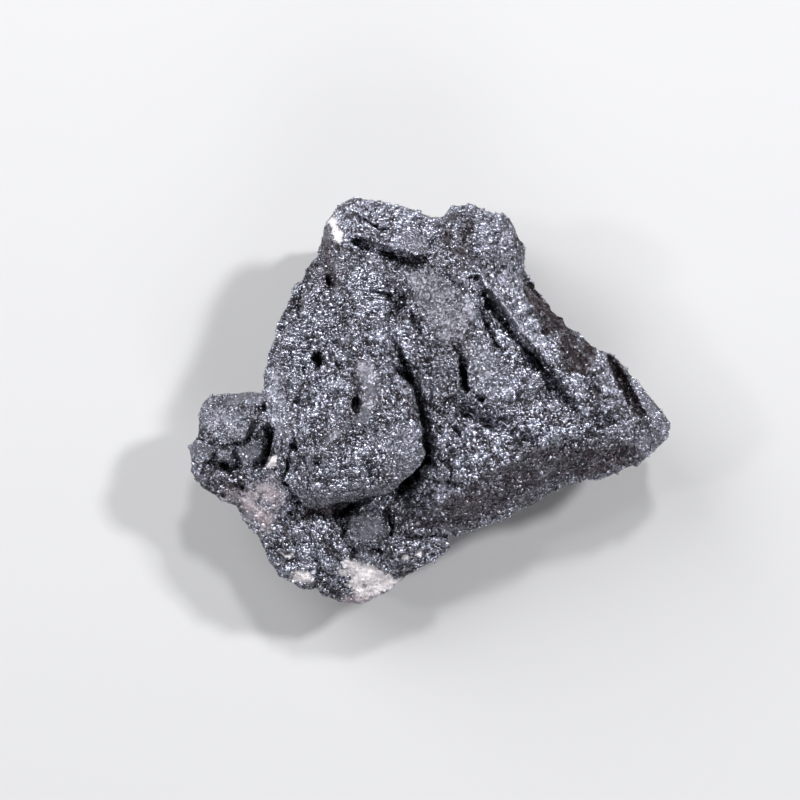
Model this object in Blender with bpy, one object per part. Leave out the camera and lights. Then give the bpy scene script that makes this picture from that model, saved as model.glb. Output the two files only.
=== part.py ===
"""Hematite pseudomorph specimen: one stone of intergrown octahedral crystals, lying on its broken back.

The stone is modelled in its own frame: +Z is up and out of its best face, +X runs to the pointed end, and the
origin is under the middle of its outline, on the surface that it rests on. It is built in four steps:

1. each crystal is the convex hull of its top corners and of a foot, the same outline drawn in lower down;
2. a voxel remesh fuses the crystals into one skin;
3. the skin is pushed along its normals into lumps, and down into pits and grooves;
4. the skin is thinned out to flat facets and cut off level where the stone rests.
"""

import math

import bmesh
import bpy
import numpy as np
from mathutils import Euler, Vector, noise

MM = 0.001

# Driving dimensions, in millimetres. The crystals are drawn for a stone this wide, and scale with it.
STONE_WIDTH = 52.0
DRAWN_WIDTH = 52.0
REST_LEVEL = 0.0

# Skin: grid step of the fused surface, triangles kept in the solid, and the size of its lumps.
SKIN_STEP = 0.3
SKIN_TRIANGLES = 9850
LUMP_SIZE = 3.4
LUMP_HEIGHT = 0.45
GRAIN_SIZE = 1.4
GRAIN_HEIGHT = 0.24

# Pits and grooves end at the side level. Under the back level the skin is thinned out a little more.
SIDE_LEVEL = 9.5
BACK_LEVEL = 8.0
FRONT_SHARE = 0.9995

# Feet: how far they are drawn to the stone's axis, and how steeply their undersides climb outwards.
FOOT_DRAW = 0.88
FOOT_CLIMB = 0.45

# Each crystal: level of its foot, size of the foot against the top outline, and its top corners (x, y, z).
CRYSTALS = {
    # The big left plate: a smooth lower facet with a bevel, a rough upper face and a rounded left rim.
    "plate_facet": (12.0, 0.93, [
        (-6.0, 4.0, 22.2), (-4.2, 4.2, 21.0), (-2.0, 1.6, 20.8), (-1.2, -1.5, 20.4), (-0.8, -5.2, 19.8),
        (-1.5, -7.4, 19.2), (-4.2, -8.3, 20.4), (-8.5, -8.9, 20.0), (-12.8, -9.4, 18.6),
        (-4.0, -9.5, 18.0), (-8.5, -10.6, 16.8), (-13.4, -11.3, 15.4), (-15.0, -8.6, 16.6),
        (-15.0, -5.4, 17.6), (-11.0, -4.8, 21.4), (-7.6, -1.0, 23.0)]),
    "plate_shoulder": (10.0, 0.92, [
        (-6.2, 5.8, 20.9), (-4.5, 7.0, 20.0), (-3.7, 5.6, 18.9), (-3.4, 4.4, 19.2), (-4.2, 3.8, 20.5),
        (-5.6, 3.9, 21.7)]),
    "plate_face": (6.0, 0.9, [
        (-7.6, -1.0, 22.9), (-5.6, 3.6, 22.0), (-4.4, 7.0, 20.6), (-3.7, 11.0, 19.0), (-5.2, 14.6, 18.0),
        (-8.6, 17.4, 17.2), (-10.6, 17.2, 15.8), (-12.4, 13.0, 15.0), (-15.0, 9.4, 14.2),
        (-16.6, 5.0, 14.0), (-17.0, 0.5, 15.0), (-14.8, -4.6, 18.0), (-11.0, -4.6, 21.0)]),
    "plate_rim": (3.0, 0.7, [
        (-11.9, 16.4, 13.2), (-14.4, 12.3, 12.4), (-16.2, 9.0, 12.0), (-17.3, 6.0, 12.0),
        (-17.8, 2.5, 12.4), (-17.7, -0.5, 13.2), (-12.0, 0.0, 14.0), (-9.0, 12.0, 14.0)]),
    # Top left: the worn striated corner and the ledge that hangs over a hollow.
    "corner": (5.0, 0.75, [
        (-11.3, 19.5, 13.6), (-10.2, 20.8, 13.5), (-8.4, 21.7, 13.6), (-7.4, 19.6, 17.0),
        (-8.2, 17.4, 17.6), (-10.4, 16.6, 16.5), (-11.9, 15.8, 13.8)]),
    "ledge": (6.5, 0.78, [
        (-8.8, 21.6, 13.8), (-7.6, 21.9, 13.8), (-4.8, 21.4, 14.4), (-3.2, 21.0, 14.6),
        (0.6, 20.1, 15.0), (1.4, 18.2, 17.4), (-0.4, 15.8, 19.4), (-1.4, 15.2, 19.8),
        (-4.6, 16.4, 19.2), (-6.6, 17.1, 18.5), (-8.3, 17.9, 17.8)]),
    "notch": (6.5, 0.85, [
        (-0.6, 20.0, 14.2), (1.0, 19.95, 14.0), (2.4, 20.0, 14.2), (2.6, 18.0, 17.0), (0.8, 17.6, 17.2),
        (-0.6, 18.4, 16.6)]),
    "bridge": (8.0, 0.95, [
        (-8.2, 16.3, 17.2), (-6.5, 16.2, 17.5), (-5.2, 16.0, 17.3), (-3.4, 15.6, 16.9),
        (-0.8, 15.0, 17.6), (-0.4, 11.5, 18.6), (-3.2, 10.6, 18.2), (-5.0, 12.8, 18.4), (-6.6, 14.6, 17.8)]),
    # Top right: the knob, its lower lobe and the neck below it.
    "knob": (6.0, 0.72, [
        (1.5, 20.1, 14.6), (2.1, 20.8, 14.6), (3.6, 21.0, 14.8), (6.2, 20.7, 15.2), (7.8, 20.1, 15.2),
        (8.8, 19.1, 15.0), (9.3, 18.0, 15.2), (8.4, 17.0, 18.2), (6.0, 17.2, 19.4), (3.2, 17.6, 18.8),
        (1.8, 18.6, 17.4)]),
    "knob_lobe": (4.5, 0.7, [
        (9.3, 17.9, 14.8), (10.2, 17.1, 14.6), (10.45, 16.0, 14.4), (10.1, 14.6, 14.6),
        (9.6, 13.2, 15.4), (8.4, 12.6, 18.2), (6.2, 13.6, 19.8), (5.8, 16.8, 19.8), (7.8, 17.4, 18.8)]),
    "neck": (6.0, 0.95, [
        (-0.6, 15.6, 18.8), (1.2, 18.2, 17.6), (4.4, 18.8, 18.2), (6.4, 16.6, 19.7), (6.6, 13.4, 19.9),
        (5.6, 12.2, 19.6), (3.2, 12.6, 19.6), (-0.4, 13.6, 18.9)]),
    # The middle: the smooth column, its lower half, the nodule beside it and the pale facet.
    "column": (9.0, 0.94, [
        (-3.6, 13.4, 17.6), (-0.4, 14.6, 18.8), (3.4, 13.6, 19.8), (4.0, 11.2, 20.2), (4.6, 8.8, 20.5),
        (3.2, 6.2, 20.8), (-0.4, 6.4, 19.9), (-2.0, 8.6, 18.6), (-3.4, 10.6, 17.9)]),
    "column_foot": (8.0, 0.94, [
        (-0.6, 7.0, 19.7), (2.6, 6.8, 20.7), (3.3, 3.4, 20.2), (3.2, 0.8, 19.3), (2.2, -2.4, 18.4),
        (1.4, -5.0, 17.5), (0.4, -7.0, 16.2), (-0.6, -4.0, 17.0), (-1.4, 0.5, 17.6), (-2.4, 4.0, 18.0)]),
    "nodule": (9.0, 0.9, [
        (-4.3, 9.4, 18.8), (-2.2, 9.8, 18.8), (-1.2, 7.6, 19.4), (-1.3, 4.6, 19.0), (-2.2, 3.2, 18.6),
        (-3.6, 4.2, 19.0), (-4.6, 6.4, 19.2)]),
    "pale_facet": (9.0, 0.95, [
        (3.4, 7.4, 20.3), (5.0, 8.9, 19.7), (6.0, 7.6, 19.5), (8.4, 4.2, 18.8),
        (9.8, 1.8, 18.1), (8.6, 0.1, 18.2), (6.0, 0.0, 18.7), (4.0, 1.0, 19.4), (3.2, 4.8, 20.2)]),
    "spindle": (9.0, 0.9, [
        (4.0, 13.0, 19.6), (4.9, 13.0, 19.6), (5.5, 12.0, 19.2), (5.7, 10.0, 19.0), (5.6, 8.6, 19.2),
        (5.1, 7.8, 19.6), (4.0, 9.6, 20.0), (3.8, 11.4, 19.8), (4.6, 12.4, 20.7), (4.9, 9.4, 20.9)]),
    "lens": (8.0, 0.94, [
        (5.6, 10.2, 18.8), (6.4, 9.6, 18.4), (8.0, 7.4, 17.8), (10.5, 4.2, 17.0), (12.8, 1.4, 16.5),
        (14.4, -0.8, 16.2), (12.0, -1.6, 16.8), (9.6, 1.2, 18.0), (8.2, 4.6, 18.7), (6.2, 7.8, 19.4)]),
    # Right: the long ridge beside the deep groove, its pitted outer flank and the tip.
    "ridge_high": (8.0, 0.92, [
        (5.6, 12.9, 19.9), (7.9, 9.6, 20.4), (9.9, 6.9, 20.2), (11.6, 7.4, 19.0), (10.6, 9.6, 18.6),
        (10.0, 12.6, 17.2), (8.2, 13.8, 18.6), (5.9, 11.6, 19.1), (6.9, 10.1, 18.9), (8.5, 8.1, 18.4),
        (9.8, 6.5, 18.1)]),
    "ridge_low": (8.0, 0.92, [
        (9.5, 7.4, 20.2), (11.6, 4.9, 19.8), (13.7, 2.6, 19.1), (15.7, -0.2, 17.8), (17.6, -1.0, 17.1),
        (15.4, 3.4, 18.1), (13.1, 6.0, 18.8), (11.6, 7.8, 19.0), (10.2, 6.0, 18.1), (12.3, 3.6, 17.8),
        (13.9, 1.9, 17.4)]),
    "flank_high": (5.0, 0.72, [
        (10.0, 13.0, 14.8), (10.9, 12.6, 14.0), (12.8, 10.6, 13.8), (13.8, 9.1, 13.8),
        (14.6, 8.2, 14.0), (13.4, 7.0, 17.4), (11.6, 7.2, 18.8), (10.4, 9.2, 18.4),
        (9.8, 12.4, 17.0)]),
    "flank_middle": (6.0, 0.66, [
        (14.3, 8.2, 14.0), (15.6, 8.1, 13.8), (16.5, 7.1, 13.4), (17.6, 5.8, 13.2), (18.1, 5.2, 13.6),
        (17.2, 2.4, 17.0), (15.0, 2.6, 18.2), (13.0, 5.2, 18.6), (13.2, 7.0, 17.6)]),
    "flank_low": (4.0, 0.72, [
        (18.0, 5.4, 13.6), (19.5, 4.9, 13.4), (20.5, 4.3, 13.0), (21.6, 3.1, 12.6), (23.4, 1.2, 12.4),
        (23.4, -1.4, 13.8), (20.4, -2.2, 16.2), (17.4, -1.2, 17.2), (17.2, 2.4, 17.0)]),
    "tip": (5.5, 0.6, [
        (22.8, 1.8, 12.0), (25.1, -0.8, 11.6), (26.2, -2.5, 11.2), (25.9, -3.8, 11.0),
        (24.2, -5.4, 11.0), (22.6, -6.4, 11.2), (20.0, -3.4, 15.4), (20.6, -1.4, 15.6),
        (22.9, -1.8, 14.4)]),
    # Lower right: three blocks that share a crest and fall to the outline, and the ground above them.
    "brow_right": (4.5, 0.66, [
        (23.0, -2.8, 14.2), (17.4, -2.4, 17.1), (13.6, -3.4, 17.4), (14.4, -9.0, 10.8),
        (17.4, -7.7, 11.0), (19.6, -7.8, 10.8), (21.6, -7.2, 10.8), (23.5, -6.0, 11.0)]),
    "brow_middle": (2.5, 0.74, [
        (16.0, -2.4, 17.2), (11.6, -4.2, 17.9), (8.2, -6.2, 18.2), (5.6, -7.6, 18.0),
        (5.6, -13.3, 10.4), (8.1, -12.8, 10.2), (11.1, -11.2, 10.2), (14.2, -9.3, 10.6), (16.6, -8.0, 10.8)]),
    "brow_left": (4.0, 0.64, [
        (9.0, -6.0, 18.0), (4.4, -8.2, 17.4), (1.0, -10.0, 15.8), (-1.0, -12.2, 13.8),
        (0.6, -14.0, 12.2), (2.8, -14.6, 10.8), (5.6, -13.3, 10.4), (7.4, -12.9, 10.4)]),
    "shelf": (8.0, 0.95, [
        (8.6, 0.6, 18.0), (12.6, -0.8, 16.9), (15.6, -1.2, 17.4), (17.6, -0.6, 17.2),
        (17.4, -2.8, 17.0), (12.0, -4.2, 17.6), (9.4, -3.0, 17.4), (7.4, -0.6, 18.0)]),
    "trough_wall": (8.0, 0.95, [
        (2.0, 0.9, 19.4), (4.6, 1.0, 19.2), (8.8, 0.4, 18.1), (8.0, -1.2, 17.8), (6.8, -2.2, 16.9),
        (4.4, -1.6, 17.1), (2.4, -0.7, 17.9)]),
    "terrace": (7.0, 0.95, [
        (1.6, -1.6, 18.3), (3.4, -1.6, 17.7), (5.4, -2.7, 17.2), (8.2, -3.4, 17.0), (10.4, -4.6, 17.5),
        (6.6, -7.0, 17.9), (3.6, -8.4, 17.2), (0.6, -8.4, 15.8), (0.2, -6.0, 16.2), (1.0, -4.0, 17.3)]),
    "step": (4.0, 0.92, [
        (0.8, -7.4, 15.8), (2.0, -10.0, 15.8), (-0.8, -12.6, 13.6), (-3.2, -13.4, 12.6),
        (-4.4, -11.0, 12.2), (-3.0, -8.4, 13.2)]),
    # Bottom: the small cube in the shade of the plate, and the masses that carry the pale matrix.
    "cube": (7.0, 0.95, [
        (-9.0, -12.3, 14.5), (-7.3, -11.5, 14.9), (-4.9, -11.5, 15.4), (-4.7, -13.8, 14.9),
        (-5.9, -15.4, 13.9), (-8.7, -15.2, 14.0), (-5.4, -12.2, 15.8)]),
    "mass_left": (2.0, 0.72, [
        (-16.8, -12.0, 13.8), (-13.6, -11.4, 13.6), (-9.8, -12.6, 12.8), (-8.8, -15.0, 13.2),
        (-8.4, -16.6, 13.0), (-11.0, -20.6, 9.8), (-14.4, -20.1, 9.6), (-16.5, -18.8, 9.8),
        (-17.3, -16.8, 10.6), (-18.4, -15.0, 11.2)]),
    "mass_right": (4.0, 0.72, [
        (-8.6, -15.4, 12.8), (-4.8, -15.4, 12.8), (-2.0, -14.2, 13.0), (1.8, -14.3, 12.0),
        (2.3, -15.4, 11.0), (1.1, -17.0, 10.2), (-1.5, -18.2, 9.8), (-4.0, -17.8, 11.0),
        (-7.0, -17.4, 12.0)]),
    "mass_foot": (2.6, 0.66, [
        (-11.4, -17.0, 12.0), (-8.0, -16.8, 12.4), (-4.2, -17.8, 11.2), (-1.5, -18.2, 9.6),
        (-3.3, -19.5, 8.8), (-5.0, -21.1, 8.2), (-7.0, -22.0, 8.0), (-9.0, -22.2, 8.0),
        (-11.2, -21.4, 8.4), (-12.6, -20.9, 8.8)]),
    "shoulder": (3.5, 0.7, [
        (-20.6, -9.6, 11.4), (-18.0, -8.2, 12.8), (-15.4, -9.0, 14.8), (-14.2, -11.2, 14.4),
        (-16.8, -13.4, 13.0), (-18.4, -15.1, 11.2), (-19.9, -13.2, 10.4), (-20.7, -11.4, 10.4)]),
    "low_ground": (3.0, 0.9, [
        (-15.0, -9.0, 13.8), (-8.0, -9.5, 12.8), (-2.0, -9.5, 13.4), (1.2, -11.5, 13.4),
        (1.6, -14.0, 12.0), (-2.0, -16.5, 11.0), (-8.0, -18.0, 10.6), (-13.5, -18.0, 10.4),
        (-17.5, -13.5, 11.8)]),
    # Left: the small cluster beside the plate.
    "cluster_face": (5.0, 0.7, [
        (-24.8, 0.1, 11.0), (-23.5, 1.1, 11.0), (-20.0, 1.2, 11.4), (-17.8, 1.2, 12.0),
        (-17.4, -1.4, 13.4), (-18.8, -3.4, 14.0), (-20.2, -4.4, 14.0), (-23.0, -4.6, 13.2),
        (-25.1, -3.8, 12.2), (-25.2, -1.4, 11.4), (-23.8, -0.4, 12.6), (-19.0, -0.2, 13.4)]),
    "cluster_corner": (6.0, 0.7, [
        (-26.2, -4.5, 11.0), (-25.0, -3.9, 12.6), (-22.8, -4.6, 13.4), (-22.9, -6.2, 12.6),
        (-25.6, -7.2, 11.0)]),
    "cluster_cube": (6.0, 0.92, [
        (-20.9, -4.6, 13.0), (-18.9, -4.0, 13.8), (-17.6, -4.8, 13.4), (-18.0, -6.6, 12.6),
        (-19.6, -7.1, 12.4), (-20.7, -6.4, 12.6)]),
    "cluster_bud": (6.0, 0.9, [
        (-22.8, -4.8, 12.4), (-21.0, -4.8, 12.4), (-20.8, -6.4, 11.8), (-22.6, -6.7, 11.8),
        (-21.8, -5.5, 13.4)]),
    "cluster_foot": (4.5, 0.7, [
        (-25.9, -6.8, 10.8), (-23.4, -6.9, 12.0), (-20.2, -7.1, 12.4), (-18.0, -7.4, 12.6),
        (-18.4, -9.4, 12.4), (-20.8, -11.0, 10.4), (-22.8, -10.5, 9.8), (-24.3, -9.6, 9.6),
        (-25.4, -8.2, 9.8)]),
    "bead_root": (8.0, 0.9, [
        (-16.8, -3.2, 15.8), (-14.4, -4.0, 17.2), (-14.0, -6.0, 17.2), (-14.4, -8.6, 16.2),
        (-17.2, -8.2, 14.2), (-17.4, -5.6, 14.8)]),
    "saddle": (6.0, 0.85, [
        (-18.6, 0.9, 12.2), (-15.8, 0.9, 14.4), (-15.0, -1.2, 16.2), (-15.2, -3.2, 16.0),
        (-16.8, -2.7, 14.8), (-18.4, -2.3, 13.8), (-18.8, -0.6, 13.2)]),
    "left_ground": (3.0, 0.9, [
        (-24.2, -1.0, 11.0), (-18.0, 0.4, 12.2), (-15.6, -6.0, 14.0), (-15.8, -11.0, 13.2),
        (-21.4, -9.8, 10.8), (-24.8, -7.8, 10.4)]),
    # The body that everything grows from. Its underside is a broken face.
    "middle_ground": (6.0, 0.92, [
        (-9.0, 16.6, 15.6), (-4.5, 16.6, 16.8), (-1.0, 16.0, 17.6), (4.0, 18.2, 17.4), (8.4, 15.4, 17.0),
        (10.0, 11.0, 16.4), (13.4, 4.6, 16.2), (16.5, 0.6, 16.0), (19.5, -1.6, 15.4), (17.0, -3.6, 16.0),
        (8.6, -6.4, 16.6), (4.5, -8.2, 16.2), (0.5, -9.2, 14.8), (-2.0, -8.2, 15.0), (-5.0, 0.0, 16.4),
        (-6.0, 8.0, 17.2)]),
    "core": (-1.0, 0.82, [
        (-15.6, 7.0, 10.5), (-9.6, 18.0, 10.5), (-4.0, 19.6, 10.5), (7.0, 18.6, 10.5), (12.4, 8.6, 10.5),
        (20.6, 0.4, 9.6), (21.4, -5.2, 8.6), (8.0, -11.4, 8.2), (-2.0, -15.6, 9.0),
        (-12.0, -16.0, 9.0), (-19.0, -9.0, 9.6), (-17.0, 0.0, 10.5)]),
    "core_foot": (-1.0, 0.82, [
        (-17.6, -12.0, 9.0), (-14.6, -17.8, 8.0), (-9.0, -20.6, 6.6), (-4.6, -19.2, 6.8),
        (0.6, -15.6, 8.4), (-4.0, -8.0, 10.0), (-14.0, -6.0, 10.0)]),
    "core_left": (2.6, 0.8, [
        (-23.6, -0.8, 9.4), (-24.8, -5.0, 9.0), (-23.0, -9.0, 8.0), (-18.6, -12.0, 8.8),
        (-12.0, -6.0, 10.0), (-14.0, 1.0, 10.0)]),
}

# Octahedra that show on the sides and the back: centre, half diagonal and turn about x, y and z in degrees.
OCTAHEDRA = [
    ((-13.0, 4.4, 7.4), 5.2, (20, 10, 15)),
    ((-14.2, 6.1, 9.2), 3.2, (20, 10, 15)),
    ((-11.2, 11.0, 8.0), 4.4, (40, 30, 0)),
    ((-7.6, 16.0, 6.6), 6.0, (35, 5, 40)),
    ((-9.2, 16.0, 9.6), 3.9, (35, 5, 40)),
    ((-1.6, 15.8, 7.4), 5.4, (10, 25, 20)),
    ((0.6, 16.7, 9.4), 3.6, (10, 25, 20)),
    ((5.2, 15.0, 6.0), 6.4, (15, 30, 60)),
    ((7.6, 14.0, 9.4), 4.5, (15, 30, 60)),
    ((8.6, 8.4, 6.4), 5.6, (30, 0, 80)),
    ((11.0, 7.6, 9.0), 3.9, (30, 0, 80)),
    ((14.5, 3.8, 6.4), 5.0, (40, 20, 10)),
    ((16.2, 3.6, 8.8), 3.6, (40, 20, 10)),
    ((20.0, -0.7, 7.2), 4.6, (25, 45, 15)),
    ((22.6, -2.4, 8.0), 3.4, (25, 45, 15)),
    ((18.6, -4.0, 6.2), 3.8, (10, 35, 30)),
    ((13.0, -5.5, 5.4), 5.0, (50, 10, 40)),
    ((11.0, -7.6, 7.6), 3.7, (50, 10, 40)),
    ((5.8, -8.3, 5.2), 5.6, (30, 15, 75)),
    ((3.8, -10.6, 7.8), 3.9, (30, 15, 75)),
    ((-1.4, -13.0, 5.8), 5.2, (25, 40, 20)),
    ((-7.1, -16.4, 4.4), 5.2, (5, 30, 65)),
    ((-9.8, -18.2, 5.8), 3.7, (5, 30, 65)),
    ((-13.4, -14.6, 5.0), 5.2, (15, 20, 50)),
    ((-15.6, -13.3, 7.0), 3.5, (15, 20, 50)),
    ((-16.8, -9.0, 5.8), 4.5, (45, 5, 30)),
    ((-21.6, -5.2, 7.4), 4.5, (35, 25, 5)),
    ((-22.4, -7.2, 8.0), 3.1, (35, 25, 5)),
    ((-15.0, -1.0, 5.4), 5.0, (5, 15, 35)),
]

# Pits: (x, y), radius and depth.
PITS = [
    ((-11.9, 4.6), 0.6, 2.8),
    ((-13.2, 3.7), 0.45, 0.8),
    ((-7.8, 0.2), 0.4, 1.2),
    ((-7.7, -0.7), 0.4, 1.2),
    ((-9.6, 3.9), 0.4, 0.8),
    ((-13.9, 0.2), 0.45, 1.0),
    ((-10.8, 12.8), 0.45, 1.3),
    ((-14.0, 10.0), 0.4, 0.8),
    ((-14.4, -4.6), 0.55, 1.6),
    ((-11.8, -6.2), 0.5, 0.6),
    ((5.4, 0.4), 0.4, 1.0),
    ((-17.7, -0.6), 0.6, 1.0),
    ((-20.2, -9.2), 0.6, 0.9),
    ((-22.3, -10.0), 0.5, 0.7),
]

# Grooves: the points they pass, each with its half width and depth. Their edges wander a little.
GROOVE_WANDER = 0.3
GROOVE_GRAIN = 1.2
GROOVES = [
    # Between the plate and the column, with the creases at its upper end.
    [(-3.9, 10.4, 0.35, 0.5), (-4.2, 8.6, 0.35, 0.5), (-3.6, 6.0, 0.45, 0.8), (-2.8, 4.2, 0.45, 1.0),
     (-2.3, 2.9, 0.45, 1.0), (-1.3, 1.3, 0.45, 1.6), (-0.9, -1.0, 0.5, 2.2), (-0.4, -3.2, 0.55, 2.8),
     (-0.3, -6.2, 0.65, 3.2), (-1.3, -7.6, 0.8, 2.8), (-3.2, -9.4, 0.9, 1.8)],
    [(-6.4, 11.8, 0.35, 0.5), (-4.7, 11.3, 0.35, 0.5), (-3.0, 11.1, 0.45, 0.9)],
    [(-2.3, 10.2, 0.35, 0.4), (-1.9, 8.8, 0.35, 0.5), (-1.1, 7.5, 0.35, 0.5)],
    # The deep groove under the long ridge, and the fine crack that leaves it.
    [(3.4, 12.6, 0.35, 0.5), (4.3, 13.1, 0.35, 0.6), (5.0, 12.8, 0.35, 0.8), (5.6, 11.3, 0.35, 1.3),
     (6.5, 10.0, 0.35, 1.8), (8.1, 8.0, 0.35, 1.9), (10.0, 5.6, 0.38, 1.8), (12.0, 3.3, 0.45, 1.6),
     (13.6, 1.7, 0.5, 1.3), (14.8, 0.0, 0.5, 0.9), (15.8, -1.4, 0.45, 0.5)],
    [(5.3, 11.0, 0.35, 0.9), (5.4, 9.4, 0.35, 1.1), (5.9, 7.9, 0.35, 1.1), (6.6, 6.7, 0.35, 0.9),
     (7.4, 5.7, 0.35, 0.7), (8.3, 4.2, 0.35, 0.3)],
    # Slits in and beside the pale facet.
    [(3.3, 4.8, 0.35, 2.0), (3.4, 3.2, 0.45, 3.0), (3.8, 1.7, 0.4, 2.0)],
    [(2.4, 6.7, 0.3, 0.4), (2.7, 5.5, 0.4, 0.7), (3.2, 5.1, 0.4, 0.7)],
    [(1.9, 0.1, 0.6, 0.6), (4.2, -1.6, 0.7, 1.0), (6.8, -2.6, 0.8, 0.9), (7.8, -3.3, 0.6, 0.4)],
    [(2.4, -2.3, 0.35, 0.7), (2.8, -3.1, 0.4, 0.9), (3.5, -3.7, 0.35, 0.6)],
    # Under and in the top ledge.
    [(-8.3, 18.7, 0.35, 0.5), (-8.5, 17.5, 0.35, 0.6), (-7.9, 16.8, 0.35, 0.6), (-7.0, 16.4, 0.35, 0.6),
     (-5.3, 15.8, 0.4, 0.8), (-4.0, 15.4, 0.6, 1.5), (-2.6, 14.9, 0.75, 1.9), (-1.3, 14.8, 0.45, 1.5)],
    [(-4.2, 14.9, 0.5, 0.7), (-2.9, 14.2, 0.7, 1.0), (-1.8, 14.0, 0.5, 0.8)],
    [(-7.3, 19.4, 0.35, 0.6), (-5.8, 18.7, 0.4, 1.0), (-4.7, 18.1, 0.35, 0.9)],
    [(0.0, 16.7, 0.4, 0.6), (0.8, 17.4, 0.4, 0.6)],
    # On the knob and the top of the column.
    [(2.1, 17.8, 0.45, 0.5), (1.8, 16.9, 0.45, 0.5)],
    [(4.2, 18.5, 0.45, 0.6), (3.4, 17.3, 0.45, 0.5)],
    [(9.0, 17.4, 0.4, 0.5), (9.9, 17.2, 0.4, 0.4)],
    [(1.2, 14.2, 0.35, 0.4), (1.8, 13.1, 0.35, 0.4), (2.8, 12.6, 0.35, 0.4)],
    # Pits in rows down the outer flank.
    [(10.4, 12.4, 0.55, 0.8), (10.7, 11.2, 0.55, 0.8)],
    [(10.3, 10.6, 0.55, 0.9), (10.6, 9.2, 0.55, 0.9)],
    [(11.4, 10.4, 0.5, 0.8), (12.1, 7.5, 0.6, 0.9)],
    [(12.6, 10.0, 0.5, 0.7), (13.4, 7.7, 0.55, 0.8)],
    [(14.0, 8.3, 0.4, 0.6), (14.3, 7.6, 0.4, 0.6)],
    [(14.6, 7.0, 0.5, 0.7), (15.2, 5.4, 0.55, 0.8)],
    [(14.0, 5.4, 0.45, 0.5), (14.6, 3.6, 0.5, 0.7)],
    [(16.0, 5.0, 0.5, 0.6), (16.8, 2.8, 0.65, 0.9)],
    [(16.8, 6.1, 0.4, 0.6), (17.4, 4.9, 0.4, 0.6)],
    [(17.1, 1.4, 0.45, 0.7), (17.9, 0.8, 0.45, 0.7)],
    [(19.3, 4.5, 0.6, 1.0), (20.6, 2.6, 0.65, 1.2), (21.5, 0.4, 0.75, 1.3), (22.6, -1.3, 0.6, 1.0)],
    # Around the cube and under the plate.
    [(-9.8, -12.4, 0.35, 0.5), (-9.3, -11.7, 0.55, 1.6), (-8.2, -11.1, 0.5, 1.5), (-7.0, -10.9, 0.4, 0.6)],
    [(-4.5, -11.6, 0.4, 0.8), (-4.2, -12.4, 0.5, 2.0), (-4.1, -13.4, 0.45, 1.9), (-3.9, -14.4, 0.35, 0.8)],
    [(-9.3, -13.0, 0.35, 0.5), (-9.2, -15.2, 0.35, 0.4), (-7.4, -15.8, 0.35, 0.4), (-5.6, -15.9, 0.35, 0.5)],
    [(-3.0, -9.4, 1.2, 1.0), (-1.6, -11.2, 1.2, 1.0), (-3.4, -13.2, 0.9, 0.9)],
    [(-6.3, -16.6, 0.4, 0.5), (-5.5, -15.9, 0.4, 0.6), (-4.9, -16.8, 0.4, 0.5)],
    [(-3.4, -14.3, 0.45, 0.5), (-0.4, -14.5, 0.45, 0.6), (2.2, -14.4, 0.45, 0.6)],
    # In the left cluster.
    [(-17.3, -2.7, 0.4, 1.2), (-17.0, -4.4, 0.55, 2.2), (-17.5, -5.8, 0.5, 1.8), (-18.6, -6.9, 0.4, 1.2)],
    [(-22.7, -5.0, 0.3, 0.5), (-23.4, -6.3, 0.35, 0.7), (-24.0, -6.8, 0.35, 0.6)],
    [(-21.0, -5.2, 0.3, 0.6), (-20.6, -6.2, 0.35, 0.9), (-20.2, -6.9, 0.4, 1.2), (-21.5, -7.0, 0.4, 1.4),
     (-22.6, -6.9, 0.4, 1.0)],
    [(-18.8, -2.4, 0.4, 0.8), (-19.2, -3.9, 0.4, 0.9), (-20.0, -4.5, 0.35, 0.8), (-22.6, -4.8, 0.3, 0.4)],
    [(-14.5, -4.7, 0.4, 0.9), (-15.0, -6.6, 0.4, 0.9), (-15.6, -8.0, 0.35, 0.7)],
]

# Calm areas, where the lumps fade out: the ends of a line, its half width and how far the lumps fade.
CALM_AREAS = [
    (-0.6, 12.6, 2.2, 8.6, 2.2, 0.8),
    (6.4, 12.2, 14.6, 2.2, 0.7, 0.8),
    (-3.4, -1.0, -3.6, -6.0, 1.8, 0.6),
    (-4.6, -9.3, -12.6, -10.8, 0.5, 0.9),
    (-23.0, -1.8, -20.6, -3.0, 1.5, 0.9),
    (-19.6, -5.4, -18.8, -5.6, 1.0, 0.9),
    (-7.4, -13.0, -6.6, -13.8, 1.4, 0.9),
    (24.4, -1.6, 23.6, -3.2, 1.2, 0.6),
    (5.0, 5.4, 7.6, 1.8, 1.2, 0.7),
    (-4.6, 18.6, -1.6, 17.0, 1.2, 0.6),
]


def clear_scene():
    for obj in list(bpy.data.objects):
        bpy.data.objects.remove(obj)


def add_hull(target, points):
    """Adds the convex hull of these points to the mesh, and leaves out those that fall inside it."""
    start = [target.verts.new(point) for point in points]
    made = bmesh.ops.convex_hull(target, input=start)
    inside = {v for v in made["geom_interior"] if isinstance(v, bmesh.types.BMVert)}
    unused = {v for v in made["geom_unused"] if isinstance(v, bmesh.types.BMVert)}
    bmesh.ops.delete(target, geom=list(inside | unused), context="VERTS")


def crystal_points(foot_level, foot_share, top):
    """The top corners, and a foot corner for each one, drawn in and higher the further out it is."""
    corners = np.array(top)
    middle = corners[:, :2].mean(axis=0)
    foot = (middle + (corners[:, :2] - middle) * foot_share) * FOOT_DRAW
    outwards = middle / max(np.linalg.norm(middle), 1)
    climb = np.maximum((foot - middle) @ outwards, 0) * FOOT_CLIMB
    low = np.column_stack([foot, foot_level + climb])
    return [Vector(p) for p in np.vstack([corners, low])]


def octahedron_points(centre, half_diagonal, turn_deg):
    turn = Euler([math.radians(a) for a in turn_deg]).to_matrix()
    ends = [Vector(e) for e in ((1, 0, 0), (-1, 0, 0), (0, 1, 0), (0, -1, 0), (0, 0, 1), (0, 0, -1))]
    return [Vector(centre) + turn @ (e * half_diagonal) for e in ends]


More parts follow.
